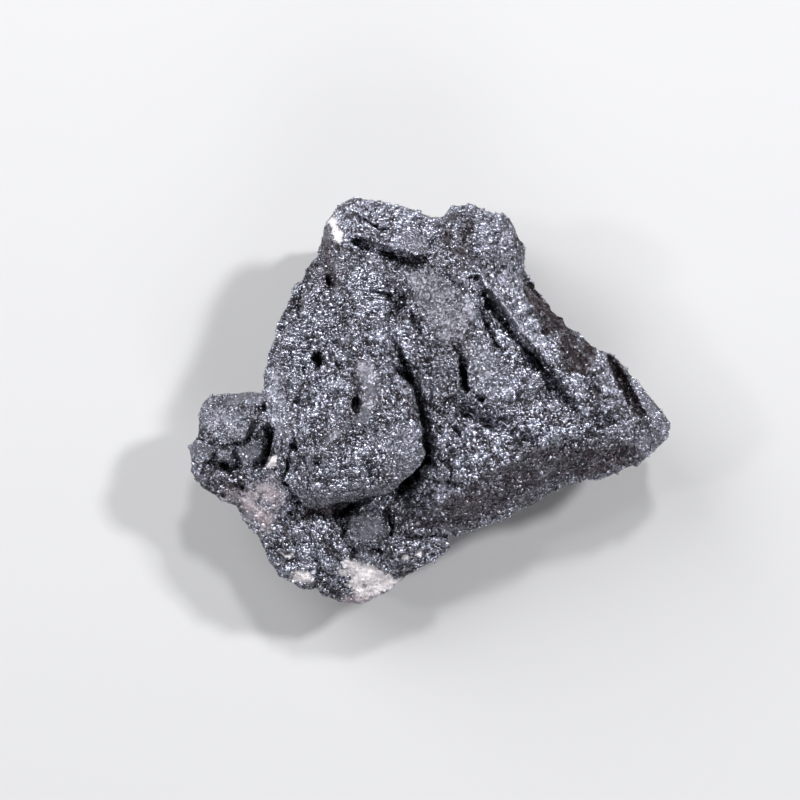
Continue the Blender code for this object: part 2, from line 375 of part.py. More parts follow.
def grow_crystals():
    """All the crystals as closed hulls in one mesh, still passing through each other."""
    grown = bmesh.new()
    for foot_level, foot_share, top in CRYSTALS.values():
        add_hull(grown, crystal_points(foot_level, foot_share, top))
    for centre, half_diagonal, turn_deg in OCTAHEDRA:
        add_hull(grown, octahedron_points(centre, half_diagonal, turn_deg))
    mesh = bpy.data.meshes.new("crystals")
    grown.to_mesh(mesh)
    grown.free()
    return mesh


def evaluated_mesh(obj):
    """The object's mesh after its modifiers."""
    bpy.context.view_layer.update()
    graph = bpy.context.evaluated_depsgraph_get()
    return bpy.data.meshes.new_from_object(obj.evaluated_get(graph))


def fused(mesh):
    """One skin around all the hulls, from a voxel remesh."""
    obj = bpy.data.objects.new("hulls", mesh)
    bpy.context.scene.collection.objects.link(obj)
    fuse = obj.modifiers.new("Fuse", "REMESH")
    fuse.mode = "VOXEL"
    fuse.voxel_size = SKIN_STEP
    skin = evaluated_mesh(obj)
    bpy.data.objects.remove(obj)
    return skin


def places_of(mesh):
    places = np.empty(len(mesh.vertices) * 3)
    mesh.vertices.foreach_get("co", places)
    return places.reshape(-1, 3)


def normals_of(mesh):
    normals = np.empty(len(mesh.vertices) * 3)
    mesh.vertices.foreach_get("normal", normals)
    return normals.reshape(-1, 3)


def lumps(places):
    """Height of the lumps at each place: a broad wave and a fine one."""
    broad = [noise.noise(Vector(p) / LUMP_SIZE) for p in places]
    fine = [noise.noise(Vector(p) / GRAIN_SIZE) for p in places]
    return np.array(broad) * LUMP_HEIGHT + np.array(fine) * GRAIN_HEIGHT


def nearest_on(flat, start, end):
    """For each place, the nearest point of a straight stretch with its values, and how far away it is."""
    start, end = np.array(start), np.array(end)
    along = end[:2] - start[:2]
    share = np.clip((flat - start[:2]) @ along / (along @ along), 0, 1)
    here = start + share[:, None] * (end - start)
    return here, np.linalg.norm(flat - here[:, :2], axis=1)


def groove_depth(flat, start, end):
    """Depth of one straight stretch of a groove: a sharp V, full in its middle and none at its half width."""
    here, away = nearest_on(flat, start, end)
    return here[:, 3] * np.clip(1.15 - away / here[:, 2], 0, 1)


def calm(places):
    """Share of the lumps that is left at each place: less in the calm areas of the top side."""
    left = np.ones(len(places))
    for x0, y0, x1, y1, half, fade in CALM_AREAS:
        away = nearest_on(places[:, :2], (x0, y0), (x1, y1))[1]
        near = np.clip(1.5 - away / half, 0, 1) * np.clip((places[:, 2] - SIDE_LEVEL) / 2, 0, 1)
        left = np.minimum(left, 1 - fade * near)
    return left


def wandering(places):
    """Each place's x and y, shifted by smooth noise, so that no edge drawn from them runs straight."""
    shift = [noise.noise_vector(Vector(p) / GROOVE_GRAIN) for p in places]
    return places[:, :2] + np.array(shift)[:, :2] * GROOVE_WANDER


def sunk(places, normals):
    """How far each place goes down, for the pits and grooves. Only the top side is cut."""
    flat = wandering(places)
    down = np.zeros(len(places))
    for centre, radius, depth in PITS:
        away = np.linalg.norm(flat - centre, axis=1)
        down = np.maximum(down, depth * np.clip(1.5 - away / radius, 0, 1))
    for groove in GROOVES:
        for start, end in zip(groove, groove[1:]):
            down = np.maximum(down, groove_depth(flat, start, end))
    return down * np.clip(normals[:, 2] * 2, 0, 1) * np.clip((places[:, 2] - SIDE_LEVEL) / 2, 0, 1)


def worn(mesh):
    """Pushes the skin into lumps, then sinks the pits and grooves."""
    places, normals = places_of(mesh), normals_of(mesh)
    places += normals * (lumps(places) * calm(places))[:, None]
    places[:, 2] -= sunk(places, normals)
    mesh.vertices.foreach_set("co", (places * MM * STONE_WIDTH / DRAWN_WIDTH).ravel())
    mesh.update()
    return mesh


def finish_of_hematite():
    material = bpy.data.materials.new("hematite")
    material.use_nodes = True
    shader = material.node_tree.nodes["Principled BSDF"]
    shader.inputs["Base Color"].default_value = (0.13, 0.135, 0.15, 1)
    shader.inputs["Metallic"].default_value = 0.7
    shader.inputs["Roughness"].default_value = 0.45
    return material


def rest_cutter():
    """A block whose underside is the rest level: what lies under it is cut off the stone."""
    side = 2 * STONE_WIDTH * MM
    bpy.ops.mesh.primitive_cube_add(size=side, location=(0, 0, REST_LEVEL * MM + side / 2))
    cutter = bpy.context.object
    cutter.name = "rest_cutter"
    cutter.hide_render = True
    cutter.display_type = "WIRE"
    return cutter


def build_stone():
    mesh = worn(fused(grow_crystals()))
    mesh.name = "specimen"
    stone = bpy.data.objects.new("specimen", mesh)
    bpy.context.scene.collection.objects.link(stone)
    mesh.materials.append(finish_of_hematite())
    spare = stone.vertex_groups.new(name="spare")
    spare.add(list(range(len(mesh.vertices))), FRONT_SHARE, "REPLACE")
    spare.add([v.index for v in mesh.vertices if v.co.z < BACK_LEVEL * MM], 1.0, "REPLACE")
    thin = stone.modifiers.new("Facets", "DECIMATE")
    thin.ratio = SKIN_TRIANGLES / (2 * len(mesh.polygons))
    thin.vertex_group = "spare"
    level = stone.modifiers.new("Rest", "BOOLEAN")
    level.operation = "INTERSECT"
    level.object = rest_cutter()
    return stone


clear_scene()
build_stone()
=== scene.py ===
"""Hematite pseudomorph specimen: the stone's sparkling skin, the small crystals on it, and a pale stage."""

import math

import bmesh
import bpy
import numpy as np
from mathutils import Matrix, Vector


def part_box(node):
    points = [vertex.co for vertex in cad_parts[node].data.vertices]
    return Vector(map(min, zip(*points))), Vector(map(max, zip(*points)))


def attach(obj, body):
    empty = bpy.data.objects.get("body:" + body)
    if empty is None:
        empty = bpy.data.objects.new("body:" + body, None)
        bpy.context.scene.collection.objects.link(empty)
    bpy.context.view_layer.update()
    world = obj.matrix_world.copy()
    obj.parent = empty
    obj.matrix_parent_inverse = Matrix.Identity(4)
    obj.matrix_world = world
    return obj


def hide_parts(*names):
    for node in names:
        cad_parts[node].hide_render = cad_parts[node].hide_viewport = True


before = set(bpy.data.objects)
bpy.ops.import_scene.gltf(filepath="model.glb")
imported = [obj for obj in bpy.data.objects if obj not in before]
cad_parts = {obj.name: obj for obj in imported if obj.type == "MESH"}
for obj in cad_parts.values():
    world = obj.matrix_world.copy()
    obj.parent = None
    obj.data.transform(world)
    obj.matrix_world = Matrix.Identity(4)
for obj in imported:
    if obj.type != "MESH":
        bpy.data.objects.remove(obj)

bl_info = {
    "name": "Hematite specimen",
    "version": (1, 0, 0),
    "blender": (4, 5, 0),
    "location": "View3D > Sidebar > Specimen",
    "description": "Skin, small crystals, matrix patches and stage of a hematite pseudomorph specimen",
    "category": "Object",
}

NODE = "specimen"
MM = 0.001
LOW, HIGH = (np.array(corner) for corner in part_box(NODE))
# How far the visible surface stays inside that box, in metres.
INSET = 1e-6
# Points of the solid that lie as near as this, in metres, are one point.
DOUBLED = 1e-6

# Levels of the stone in millimetres. Areas, creases and grains of the top side start at TOP_FROM, the
# brown and the plum film at FILMS_FROM, and all are whole FADE higher. Coarse crystals lie evenly below
# EVEN_BELOW. Small crystals are most crowded from CROWDED_FROM on, and there are none up to CLEAR_TO. The
# relief is lower up to FLAT_TO.
TOP_FROM = 5.5
FILMS_FROM = 2.0
FADE = 2.0
EVEN_BELOW = 7.0
CROWDED_FROM = 9.0
CLEAR_TO = 0.5
FLAT_TO = 0.8

# Seeds of the noise, one for each pattern. A pattern also uses some of the numbers after its seed.
SEED = {
    "lumps": 1, "coarse crystals": 3, "calm": 11, "coarse": 13, "creases": 17, "brown": 21, "purple": 23,
    # The dull seed draws the areas of painted shade and darker tone, the light seed those of painted light
    # and paler tone.
    "dull": 25, "light": 27, "plum": 29, "white": 31, "pink": 41, "pink breaks": 43, "underside": 51,
    "brown breaks": 61, "purple breaks": 63, "plum breaks": 65, "shade": 71, "striae": 81, "crowding": 91,
    "fine crystals": 103,
}

# Areas of the top side by place, in millimetres: the ends of a line as x, y, x, y, its half width, and
# how strong the effect is there, from 0 to 1.
CALM_AREAS = {
    "column": [(-0.2, 12.4, 2.3, 8.0, 2.0, 0.55), (2.0, 6.0, 0.6, 1.0, 0.9, 0.3)],
    "groove": [
        (6.6, 11.2, 9.6, 7.5, 0.5, 0.95), (9.6, 7.5, 12.8, 4.2, 0.4, 0.6),
        (3.9, 10.4, 4.8, 8.6, 0.6, 0.95), (4.8, 5.6, 7.4, 2.2, 1.3, 0.5),
    ],
    "streak on the plate": [
        (-6.6, 3.6, -5.8, 1.2, 0.9, 0.85), (-5.9, 1.0, -7.4, -1.8, 0.7, 0.85),
        (-7.4, -1.8, -10.8, -3.8, 0.5, 0.7),
    ],
    "rim of the plate": [
        (-3.2, -3.6, -3.0, -6.4, 1.7, 0.45), (-3.4, -9.1, -12.8, -10.9, 0.3, 0.5),
        (-16.6, 2.6, -16.2, -3.0, 0.9, 0.6),
    ],
    "left cubes": [
        (-24.0, -1.4, -20.2, -2.4, 1.6, 0.55), (-23.6, 0.7, -18.2, 0.7, 0.5, 0.7),
        (-25.4, -5.0, -23.8, -5.4, 0.8, 0.7), (-19.8, -5.6, -18.8, -5.4, 1.0, 0.75),
        (-22.2, -5.6, -21.4, -5.6, 0.6, 0.8),
    ],
    "cube under the plate": [(-7.6, -13.2, -6.2, -13.4, 1.5, 0.8)],
    "right end": [(21.6, 1.6, 24.8, -2.2, 0.9, 0.4), (24.0, -4.2, 23.0, -4.8, 1.0, 0.6)],
    "top": [(-11.2, 18.4, -10.6, 14.0, 0.7, 0.6), (-3.0, 17.4, -0.8, 16.6, 0.8, 0.4)],
}
COARSE_AREAS = {
    "plate": [
        (-13.6, 9.6, -11.6, 1.6, 3.2, 0.9), (-6.6, 12.6, -5.6, 8.6, 2.0, 0.8),
        (-10.6, -7.4, -5.6, -6.4, 1.8, 0.7), (-4.6, -1.0, -2.4, -3.0, 1.0, 0.5),
    ],
    "lower knob": [(-12.0, -14.4, -13.4, -17.6, 2.6, 0.8)],
    "lower slope": [(0.6, -6.0, 11.0, -2.2, 2.2, 0.7), (11.0, -3.4, 18.0, -3.8, 1.4, 0.6)],
    "top": [(5.4, 17.6, 8.2, 15.0, 1.8, 0.8), (-6.0, 19.6, -1.6, 19.2, 1.2, 0.7)],
    "groove": [
        (7.6, 7.0, 12.0, 2.4, 0.9, 0.7), (9.8, 9.6, 15.4, 1.4, 0.9, 0.6), (5.4, 4.0, 8.4, 1.2, 0.9, 0.6),
    ],
}
BROWN_AREAS = {
    "pits of the flank": [
        (10.7, 11.8, 12.2, 9.6, 0.95, 1.0), (12.2, 9.8, 13.4, 8.3, 0.9, 1.0),
        (11.2, 9.6, 12.2, 7.8, 0.55, 0.95), (14.2, 8.4, 14.6, 7.4, 0.5, 0.9),
        (14.6, 6.2, 16.2, 3.7, 1.1, 1.0), (13.9, 4.6, 14.8, 3.4, 0.5, 0.8),
        (16.8, 6.1, 17.4, 5.0, 0.45, 0.9), (17.1, 1.4, 17.8, 0.8, 0.45, 0.9),
    ],
    "slit at the right end": [
        (19.3, 4.5, 20.6, 2.4, 0.58, 1.0), (20.6, 2.4, 21.4, 0.6, 0.72, 1.0),
        (21.4, 0.6, 22.6, -1.3, 0.66, 1.0),
    ],
    "top": [
        (-11.3, 16.6, -10.9, 15.2, 0.4, 0.6), (-10.8, 14.2, -10.2, 12.4, 0.35, 0.6),
        (2.1, 17.8, 1.8, 16.9, 0.45, 0.8), (4.1, 18.5, 3.4, 17.2, 0.45, 0.9),
        (9.0, 17.4, 9.9, 17.2, 0.4, 0.9), (3.3, 15.8, 3.0, 15.4, 0.4, 0.7),
    ],
    "under the plate": [(-13.0, -11.8, -9.8, -11.4, 0.6, 0.7)],
}
PURPLE_AREAS = {
    "column": [(-0.6, 14.4, 2.6, 7.0, 2.4, 0.4), (1.6, 17.0, 3.6, 14.8, 1.6, 0.35)],
    "streak on the plate": [(-6.9, 3.6, -5.9, 1.2, 1.1, 0.65), (-6.4, 1.4, -10.6, -3.8, 0.8, 0.6)],
    "rim of the plate": [
        (-11.4, 18.0, -10.8, 12.6, 0.9, 0.8), (-4.2, -7.6, -3.0, -7.8, 0.9, 0.8),
        (-3.4, -9.0, -12.8, -10.8, 0.3, 0.5),
    ],
    "left cubes": [(-24.6, -7.8, -21.6, -9.0, 1.0, 0.8)],
    "lower knob": [(-3.6, -17.4, -2.2, -18.2, 0.8, 0.7), (-13.0, -20.4, -9.0, -21.6, 0.9, 0.7)],
}
PLUM_AREAS = {
    "rim of the plate": [(-11.2, 17.6, -10.4, 12.2, 1.0, 0.55)],
    "lower slope": [
        (10.0, -7.0, 20.4, -5.4, 1.9, 0.85), (3.4, -11.4, 10.0, -8.4, 2.2, 0.75),
        (-3.6, -12.2, 3.0, -12.8, 1.2, 0.5),
    ],
    "left cubes": [(-23.6, -8.0, -20.6, -8.6, 0.9, 0.5)],
}
# Areas painted darker, as x, y, x, y, half width and strength: painted shade along the grooves and below
# the plate, and a darker tone of the stone on the column, plate, left cubes and knob.
SHADE_AND_DARK_TONE_AREAS = {
    "column": [
        (-0.6, 13.4, 2.4, 7.6, 2.6, 0.6), (-3.6, 11.0, -1.6, 8.0, 0.8, 0.4),
        (-2.4, 4.0, -1.4, 1.6, 1.0, 0.5),
    ],
    "groove": [
        (6.5, 11.2, 10.4, 6.8, 0.5, 0.4), (4.8, 11.0, 7.2, 7.0, 0.35, 0.5),
        (11.6, 2.8, 14.8, -0.8, 0.7, 0.45), (2.2, -0.6, 6.8, -2.4, 0.8, 0.6),
    ],
    "plate": [
        (-15.0, 5.0, -7.0, 12.0, 3.6, 0.28), (-12.6, 1.0, -9.0, -4.0, 2.6, 0.12),
        (-6.0, -2.0, -4.0, -7.0, 3.0, 0.28),
    ],
    "left cubes": [
        (-24.0, -0.8, -19.6, -2.4, 2.4, 0.55), (-25.4, -5.0, -19.0, -6.0, 1.4, 0.3),
        (-23.6, 0.9, -18.2, 0.9, 0.5, 0.5), (-17.6, -4.2, -17.0, -5.4, 0.7, 0.6),
    ],
    "knob": [(3.4, 18.8, 8.6, 15.6, 2.2, 0.3)],
    "below the plate": [
        (-8.0, -13.2, -6.2, -13.6, 2.0, 0.8), (-3.6, -9.8, -12.8, -11.4, 0.6, 0.8),
        (-0.2, -5.6, -0.8, -7.6, 0.8, 0.6), (-4.6, -10.6, 3.0, -12.4, 1.0, 0.5),
    ],
}
# Areas painted lighter where the skin faces up, as x, y, x, y, half width and strength: painted light on
# the crests and rims that catch the lamps, and a paler tone of the stone elsewhere.
LIT_AND_PALE_AREAS = {
    "beside the groove": [
        (5.2, 6.4, 8.6, 1.0, 1.7, 0.2), (6.2, 8.8, 11.4, 2.4, 0.8, 1.0),
        (9.0, 12.6, 12.4, 6.4, 0.9, 0.45), (7.6, 12.2, 11.4, 7.6, 0.45, 0.7),
    ],
    "lower slope": [
        (1.0, -3.4, 8.0, -5.0, 1.6, 0.3), (9.0, 0.4, 15.0, -2.4, 1.4, 0.3),
        (2.0, -2.6, 14.6, -2.2, 1.0, 0.3),
    ],
    "rim of the plate": [
        (-17.2, 3.6, -16.6, -2.8, 0.9, 0.6), (-1.4, -3.4, -2.0, -7.0, 0.6, 0.4),
        (-10.4, 12.0, -11.0, 15.6, 0.5, 0.3),
    ],
    "right end": [
        (22.2, 1.8, 25.2, -2.4, 0.8, 0.45), (17.6, 4.8, 19.0, 1.4, 0.7, 0.6),
        (12.8, 2.6, 22.0, -3.6, 0.9, 0.35),
    ],
    "left cubes": [(-24.6, -5.2, -23.9, -5.6, 1.0, 0.5)],
    "lower knob": [(-2.4, -15.2, 0.6, -16.2, 1.1, 0.4)],
    "top": [(-9.6, 19.8, -3.0, 18.6, 1.4, 0.75)],
}
WHITE_AREAS = {
    "top": [(-10.4, 19.5, -10.1, 18.7, 0.4, 1.0), (-9.9, 18.4, -9.4, 17.0, 0.36, 1.0)],
    "large patch": [
        (-8.9, -17.1, -6.4, -17.9, 0.5, 1.0), (-9.2, -18.3, -5.4, -18.5, 0.6, 1.0),
        (-7.9, -19.7, -4.4, -19.5, 0.85, 1.0), (-7.7, -20.7, -5.8, -20.6, 0.55, 0.9),
        (-4.4, -19.6, -3.4, -19.4, 0.4, 0.9),
    ],
    "small patch": [(-14.1, -19.0, -13.3, -18.8, 0.7, 1.0), (-13.7, -18.2, -13.4, -18.6, 0.5, 1.0)],
    "grains": [
        (-15.6, -16.3, -15.0, -16.2, 0.25, 1.0), (-1.3, -16.2, -1.0, -16.1, 0.25, 1.0),
        (-2.5, -16.8, -2.3, -16.7, 0.18, 1.0), (-17.0, -6.4, -17.0, -6.5, 0.62, 1.0),
    ],
}
PINK_AREAS = {
    "left of the plate": [
        (-19.8, -9.9, -17.2, -9.2, 0.9, 0.9), (-19.2, -11.4, -17.6, -12.6, 1.2, 0.9),
        (-20.6, -10.2, -22.0, -9.8, 0.5, 0.7), (-17.0, -8.6, -16.4, -10.6, 0.8, 0.7),
    ],
    "below the large patch": [(-8.6, -21.2, -5.4, -21.0, 0.8, 0.9)],
}

# Creases of the top side by place, in millimetres: half width, depth and the points that each passes.
CREASES = {
    "right rim of the plate": [
        (0.3, 1.3, [(-3.4, 5.6), (-2.8, 4.3), (-2.4, 2.9), (-1.4, 1.4), (-1.0, -0.8), (-0.5, -3.0)]),
        (0.38, 1.8, [(-0.5, -3.0), (-0.3, -5.0), (-0.4, -6.3), (-1.3, -7.7), (-2.9, -9.2)]),
    ],
    "upper plate": [
        (0.22, 0.6, [(-3.8, 10.0), (-4.25, 8.9), (-4.1, 7.8)]),
        (0.22, 0.6, [(-2.2, 10.2), (-1.9, 9.0), (-1.1, 7.6), (-1.2, 6.6)]),
        (0.26, 0.8, [(-6.5, 11.7), (-5.5, 11.4), (-4.6, 11.2), (-3.8, 10.6), (-3.0, 11.1)]),
    ],
    "deep groove": [
        (0.14, 0.4, [(5.3, 12.0), (5.7, 11.2), (6.5, 10.0), (8.1, 8.0), (9.8, 5.9)]),
        (0.34, 0.4, [(9.6, 6.1), (12.0, 3.4), (13.6, 1.7), (14.6, 0.4), (15.6, -1.0)]),
        (0.2, 0.5, [(3.4, 12.5), (4.2, 13.1), (4.9, 12.9), (5.3, 12.2)]),
        (0.15, 0.7, [
            (5.3, 10.6), (5.4, 9.4), (5.8, 8.2), (6.2, 7.2), (6.8, 6.5), (7.4, 5.8), (7.7, 5.3),
        ]),
    ],
    "slit and ledge right of the column": [
        (0.2, 1.6, [(3.2, 4.9), (3.35, 3.6), (3.5, 2.6), (3.9, 1.5)]),
        (0.18, 0.7, [(2.3, 6.7), (2.4, 6.1), (2.75, 5.5), (3.2, 5.2)]),
        (0.2, 0.9, [(2.4, -2.5), (2.8, -3.1), (3.5, -3.7)]),
        (0.2, 0.3, [(2.6, -0.5), (3.6, -1.3), (4.8, -2.1), (6.4, -2.6)]),
    ],
    "top": [
        (0.2, 0.5, [
            (-6.9, 16.5), (-5.9, 16.3), (-5.0, 16.0), (-4.2, 15.6), (-3.4, 15.3), (-2.2, 15.0),
            (-1.2, 14.8),
        ]),
        (0.3, 1.6, [(-7.4, 19.4), (-6.5, 18.95), (-5.7, 18.6), (-4.6, 18.1)]),
        (0.13, 0.25, [(-8.3, 18.7), (-8.5, 17.5), (-7.9, 16.8), (-7.2, 16.2)]),
        (0.18, 0.3, [(0.0, 16.7), (0.7, 17.3)]),
        (0.14, 0.3, [(1.2, 14.2), (1.6, 13.3), (2.2, 12.8), (2.8, 12.6), (3.2, 12.8)]),
    ],
    "cube under the plate": [
        (0.3, 1.0, [(-9.7, -12.4), (-9.2, -11.7), (-8.6, -11.2), (-7.8, -11.0)]),
        (0.22, 0.8, [(-4.4, -12.2), (-4.2, -13.2), (-4.1, -14.2)]),
        (0.14, 0.3, [(-9.1, -13.6), (-9.1, -14.4), (-8.7, -15.0)]),
    ],
    "lower knob": [
        (0.16, 0.35, [(-6.4, -17.0), (-6.4, -16.2), (-5.9, -15.7), (-5.2, -16.0), (-4.8, -16.8)]),
        (0.22, 0.5, [(-3.0, -14.3), (-1.2, -14.5), (0.6, -14.2), (2.2, -14.5)]),
        (0.2, 0.5, [(-14.9, -12.0), (-15.0, -13.4)]),
    ],
    "left cubes": [
        (0.2, 0.8, [(-18.8, -2.3), (-19.1, -3.2), (-19.3, -4.0), (-20.0, -4.45), (-21.2, -4.5)]),
        (0.26, 1.0, [(-17.1, -2.9), (-17.0, -4.2), (-17.1, -5.2), (-17.8, -6.2), (-18.6, -6.8)]),
        (0.22, 0.9, [(-21.0, -5.1), (-20.7, -6.0), (-20.3, -6.8)]),
        (0.28, 1.0, [(-22.7, -6.8), (-21.6, -7.05), (-20.4, -7.0)]),
        (0.16, 0.6, [(-22.7, -5.0), (-23.2, -6.0), (-24.0, -6.8)]),
        (0.14, 0.3, [(-25.3, -3.6), (-24.0, -4.2), (-22.8, -4.8)]),
        (0.24, 0.9, [(-14.6, -4.7), (-14.9, -5.6), (-15.1, -6.8), (-15.5, -7.9), (-15.9, -8.6)]),
    ],
    "right end": [
        (0.5, 0.5, [(19.3, 4.5), (20.0, 3.3), (20.8, 2.0), (21.3, 0.8), (22.2, -0.6), (22.6, -1.3)]),
        (0.14, 0.3, [(23.8, -4.9), (24.0, -4.2)]),
    ],
    "pits": [
        (0.6, 1.2, [(-11.9, 4.7), (-11.8, 4.4)]),
        (0.25, 0.6, [(-12.4, 4.2), (-13.3, 3.6)]),
        (0.28, 1.0, [(-7.8, 0.4), (-7.7, -0.8)]),
        (0.25, 0.7, [(-9.8, 4.2), (-9.6, 3.7)]),
        (0.2, 0.4, [(-13.7, 0.4), (-14.0, 0.0)]),
        (0.3, 0.9, [(-10.9, 13.2), (-10.6, 12.0)]),
        (0.25, 0.7, [(-14.1, 10.3), (-13.9, 9.8)]),
        (0.36, 0.9, [(-14.6, -4.6), (-14.2, -4.8)]),
        (0.25, 0.5, [(-12.0, -6.3), (-11.6, -6.0)]),
        (0.2, 0.5, [(4.9, 0.6), (5.7, 0.2)]),
        (0.22, 0.6, [(-17.7, -0.5), (-17.6, -0.7)]),
        (0.26, 0.8, [(-20.2, -9.1), (-20.1, -9.2)]),
        (0.22, 0.6, [(-22.5, -10.0), (-22.3, -10.1)]),
    ],
}

# Round grains that stand on the skin, in millimetres: x, y and radius.
GRAINS = [(-17.0, -6.4, 0.66), (-16.0, -6.4, 0.66), (-21.7, -7.7, 0.2), (-7.1, 13.8, 0.3), (6.9, 3.6, 0.26)]

# An octahedron: its six points, and its eight faces as numbers of points.
ENDS = np.array([(1, 0, 0), (0, 1, 0), (-1, 0, 0), (0, -1, 0), (0, 0, 1), (0, 0, -1)], float)
FACES = np.array([(0, 1, 4), (1, 2, 4), (2, 3, 4), (3, 0, 4), (1, 0, 5), (2, 1, 5), (3, 2, 5), (0, 3, 5)])

# The pieces of small crystals, from left to right.
DRUSE_PIECES = ("druse_left", "druse_middle_left", "druse_middle_right", "druse_right")

# The level that the lights and the camera look at, and the camera's distance from it, in millimetres.
FOCUS_LEVEL = 12
CAMERA_DISTANCE = 321.6

# The soft lights: place and width in millimetres, and power as a share of the key power.
LIGHTS = {
    "soft_left": ((-380, 340, 380), 380, 0.95),
    "small_top": ((60, 380, 500), 60, 0.5),
    "small_left": ((-420, 40, 440), 56, 0.16),
    "small_right": ((400, 240, 480), 66, 0.95),
    "soft_low": ((120, -460, 360), 320, 0.3),
}


class SkinSettings(bpy.types.PropertyGroup):
    step: bpy.props.FloatProperty(
        name="Grid step", description="Size of the squares that the skin is drawn in", default=0.17 * MM,
        unit="LENGTH", precision=6,
    )
    triangles: bpy.props.IntProperty(
        name="Triangles", description="Triangles kept in the skin", default=194000, min=1000, max=199000
    )
    lump_height: bpy.props.FloatProperty(
        name="Lump height", description="Height of the rounded lumps", default=0.16 * MM, unit="LENGTH",
        precision=6,
    )
    coarse_size: bpy.props.FloatProperty(
        name="Coarse crystals", description="Width of the coarse crystals in the skin", default=1.5 * MM,
        unit="LENGTH", precision=6,
    )
    fine_size: bpy.props.FloatProperty(
        name="Fine crystals", description="Width of the fine crystals in the skin", default=0.62 * MM,
        unit="LENGTH", precision=6,
    )
    colour: bpy.props.FloatVectorProperty(
        name="Hematite", description="Colour of the clean metal-grey crystals",
        default=(0.335, 0.345, 0.405), subtype="COLOR",
    )
    # Painted shade: the colour that the low gaps between the crystals are painted with.
    gap_shade: bpy.props.FloatVectorProperty(
        name="Gap shade", description="Colour of the gaps between the crystals",
        default=(0.085, 0.078, 0.092), subtype="COLOR",
    )
    brown: bpy.props.FloatVectorProperty(
        name="Brown film", description="Colour of the brown film in the pits",
        default=(0.036, 0.027, 0.03), subtype="COLOR",
    )
    plum: bpy.props.FloatVectorProperty(
        name="Plum film", description="Colour of the dark film on the lower slope",
        default=(0.115, 0.088, 0.105), subtype="COLOR",
    )
    purple: bpy.props.FloatVectorProperty(
        name="Purple film", description="Colour of the thin purplish film", default=(0.2, 0.183, 0.215),
        subtype="COLOR",
    )
    white: bpy.props.FloatVectorProperty(
        name="White matrix", description="Colour of the white matrix", default=(0.8, 0.75, 0.775),
        subtype="COLOR",
    )
    pink: bpy.props.FloatVectorProperty(
        name="Pink matrix", description="Colour of the pinkish matrix", default=(0.52, 0.45, 0.49),
        subtype="COLOR",
    )


class DruseSettings(bpy.types.PropertyGroup):
    count: bpy.props.IntProperty(
        name="Crystals a piece", description="Small crystals in each of the pieces", default=24500, min=100
    )
    size: bpy.props.FloatProperty(
        name="Crystal size", description="Half length of a usual crystal", default=0.2 * MM, unit="LENGTH",
        precision=6,
    )
    seed: bpy.props.IntProperty(name="Seed", description="Start of the random placing", default=7)


class StageSettings(bpy.types.PropertyGroup):
    floor: bpy.props.FloatVectorProperty(
        name="Floor", description="Colour of the floor", default=(0.57, 0.57, 0.58), subtype="COLOR"
    )
    key: bpy.props.FloatProperty(
        name="Key light", description="Power that each light has a share of", default=3.1, unit="POWER"
    )
    sky: bpy.props.FloatProperty(name="Surround", description="Brightness of the surround", default=0.1)


# Noise and crystal relief, on whole arrays of points in metres.


def hashed(cells, seed):
    """A number from 0 to 1 for each whole-number cell, always the same for the same cell and seed: the
    cell times large primes, mixed by shifts and products, and its lowest 20 bits."""
    with np.errstate(over="ignore"):
        mixed = cells[..., 0] * 73856093 ^ cells[..., 1] * 19349663 ^ cells[..., 2] * 83492791
        mixed = mixed ^ (seed * 40503 + 12345)
        mixed = (mixed ^ (mixed >> 13)) * 1274126177
        mixed = (mixed ^ (mixed >> 15)) * 668265263
    return ((mixed ^ (mixed >> 16)) & 0xFFFFF) / 0xFFFFF


def smooth_noise(points, size, seed):
    """Random heights from -1 to 1 at the corners of a grid of this size, blended by smooth steps."""
    scaled = points / size
    cell = np.floor(scaled).astype(np.int64)
    part = scaled - cell
    part = part * part * (3 - 2 * part)
    total = np.zeros(len(points))
    for corner in np.ndindex(2, 2, 2):
        corner = np.array(corner)
        share = np.prod(np.where(corner, part, 1 - part), axis=1)
        total += share * hashed(cell + corner, seed)
    return total * 2 - 1


def fractal(points, size, seed):
    """Three layers of smooth noise, each half as wide and 0.55 as high as the one before."""
    total, height = np.zeros(len(points)), 1.0
    for layer in range(3):
        total += height * smooth_noise(points, size * 0.5**layer, seed + layer)
        height *= 0.55
    return total


def rotated(vectors, spin):
    """Each vector turned by its unit quaternion, a number w and an axis. With across for the cross product
    of axis and vector, it is the vector plus twice the sum of w times across and of axis cross across."""
    w, axis = spin[..., :1], spin[..., 1:]
    across = np.cross(axis, vectors)
    return vectors + 2 * (w * across + np.cross(axis, across))


def turned(vectors, cells, seed):
    """Each vector turned by its own random rotation, made from its cell."""
    spin = np.stack([hashed(cells, seed + k) - 0.5 for k in range(4)], axis=1)
    spin /= np.linalg.norm(spin, axis=1)[:, None] + 1e-9
    return rotated(vectors, spin)


def crystal_relief(points, size, seed):
    """Height of the tallest octahedron over each point: its half diagonal, 0.45 to 0.95 cells, less the
    point's distance from its centre, counted along its own three axes. One octahedron stands in each cell
    of a grid, shifted and turned at random, and the cells next to the point's own are looked at too."""
    scaled = points / size
    cell = np.floor(scaled).astype(np.int64)
    best = np.zeros(len(points))
    for corner in np.ndindex(3, 3, 3):
        near = cell + np.array(corner) - 1
        centre = near + np.stack([hashed(near, seed + k) for k in range(3)], axis=1)
        half = 0.45 + 0.5 * hashed(near, seed + 5)
        reach = np.abs(turned(scaled - centre, near, seed + 7)).sum(axis=1)
        best = np.maximum(best, half - reach)
    return best * size


def striae(points, lean, width, seed):
    """Ridges that lean from +Y by this many degrees: noise six times as long as wide."""
    turn = math.radians(lean)
    across = points[:, 0] * math.cos(turn) + points[:, 1] * math.sin(turn)
    along = points[:, 1] * math.cos(turn) - points[:, 0] * math.sin(turn)
    return smooth_noise(np.stack([across, along / 6, points[:, 2] / 6], axis=1), width, seed)


# Areas, creases and grains of the top side. Their places are in millimetres.


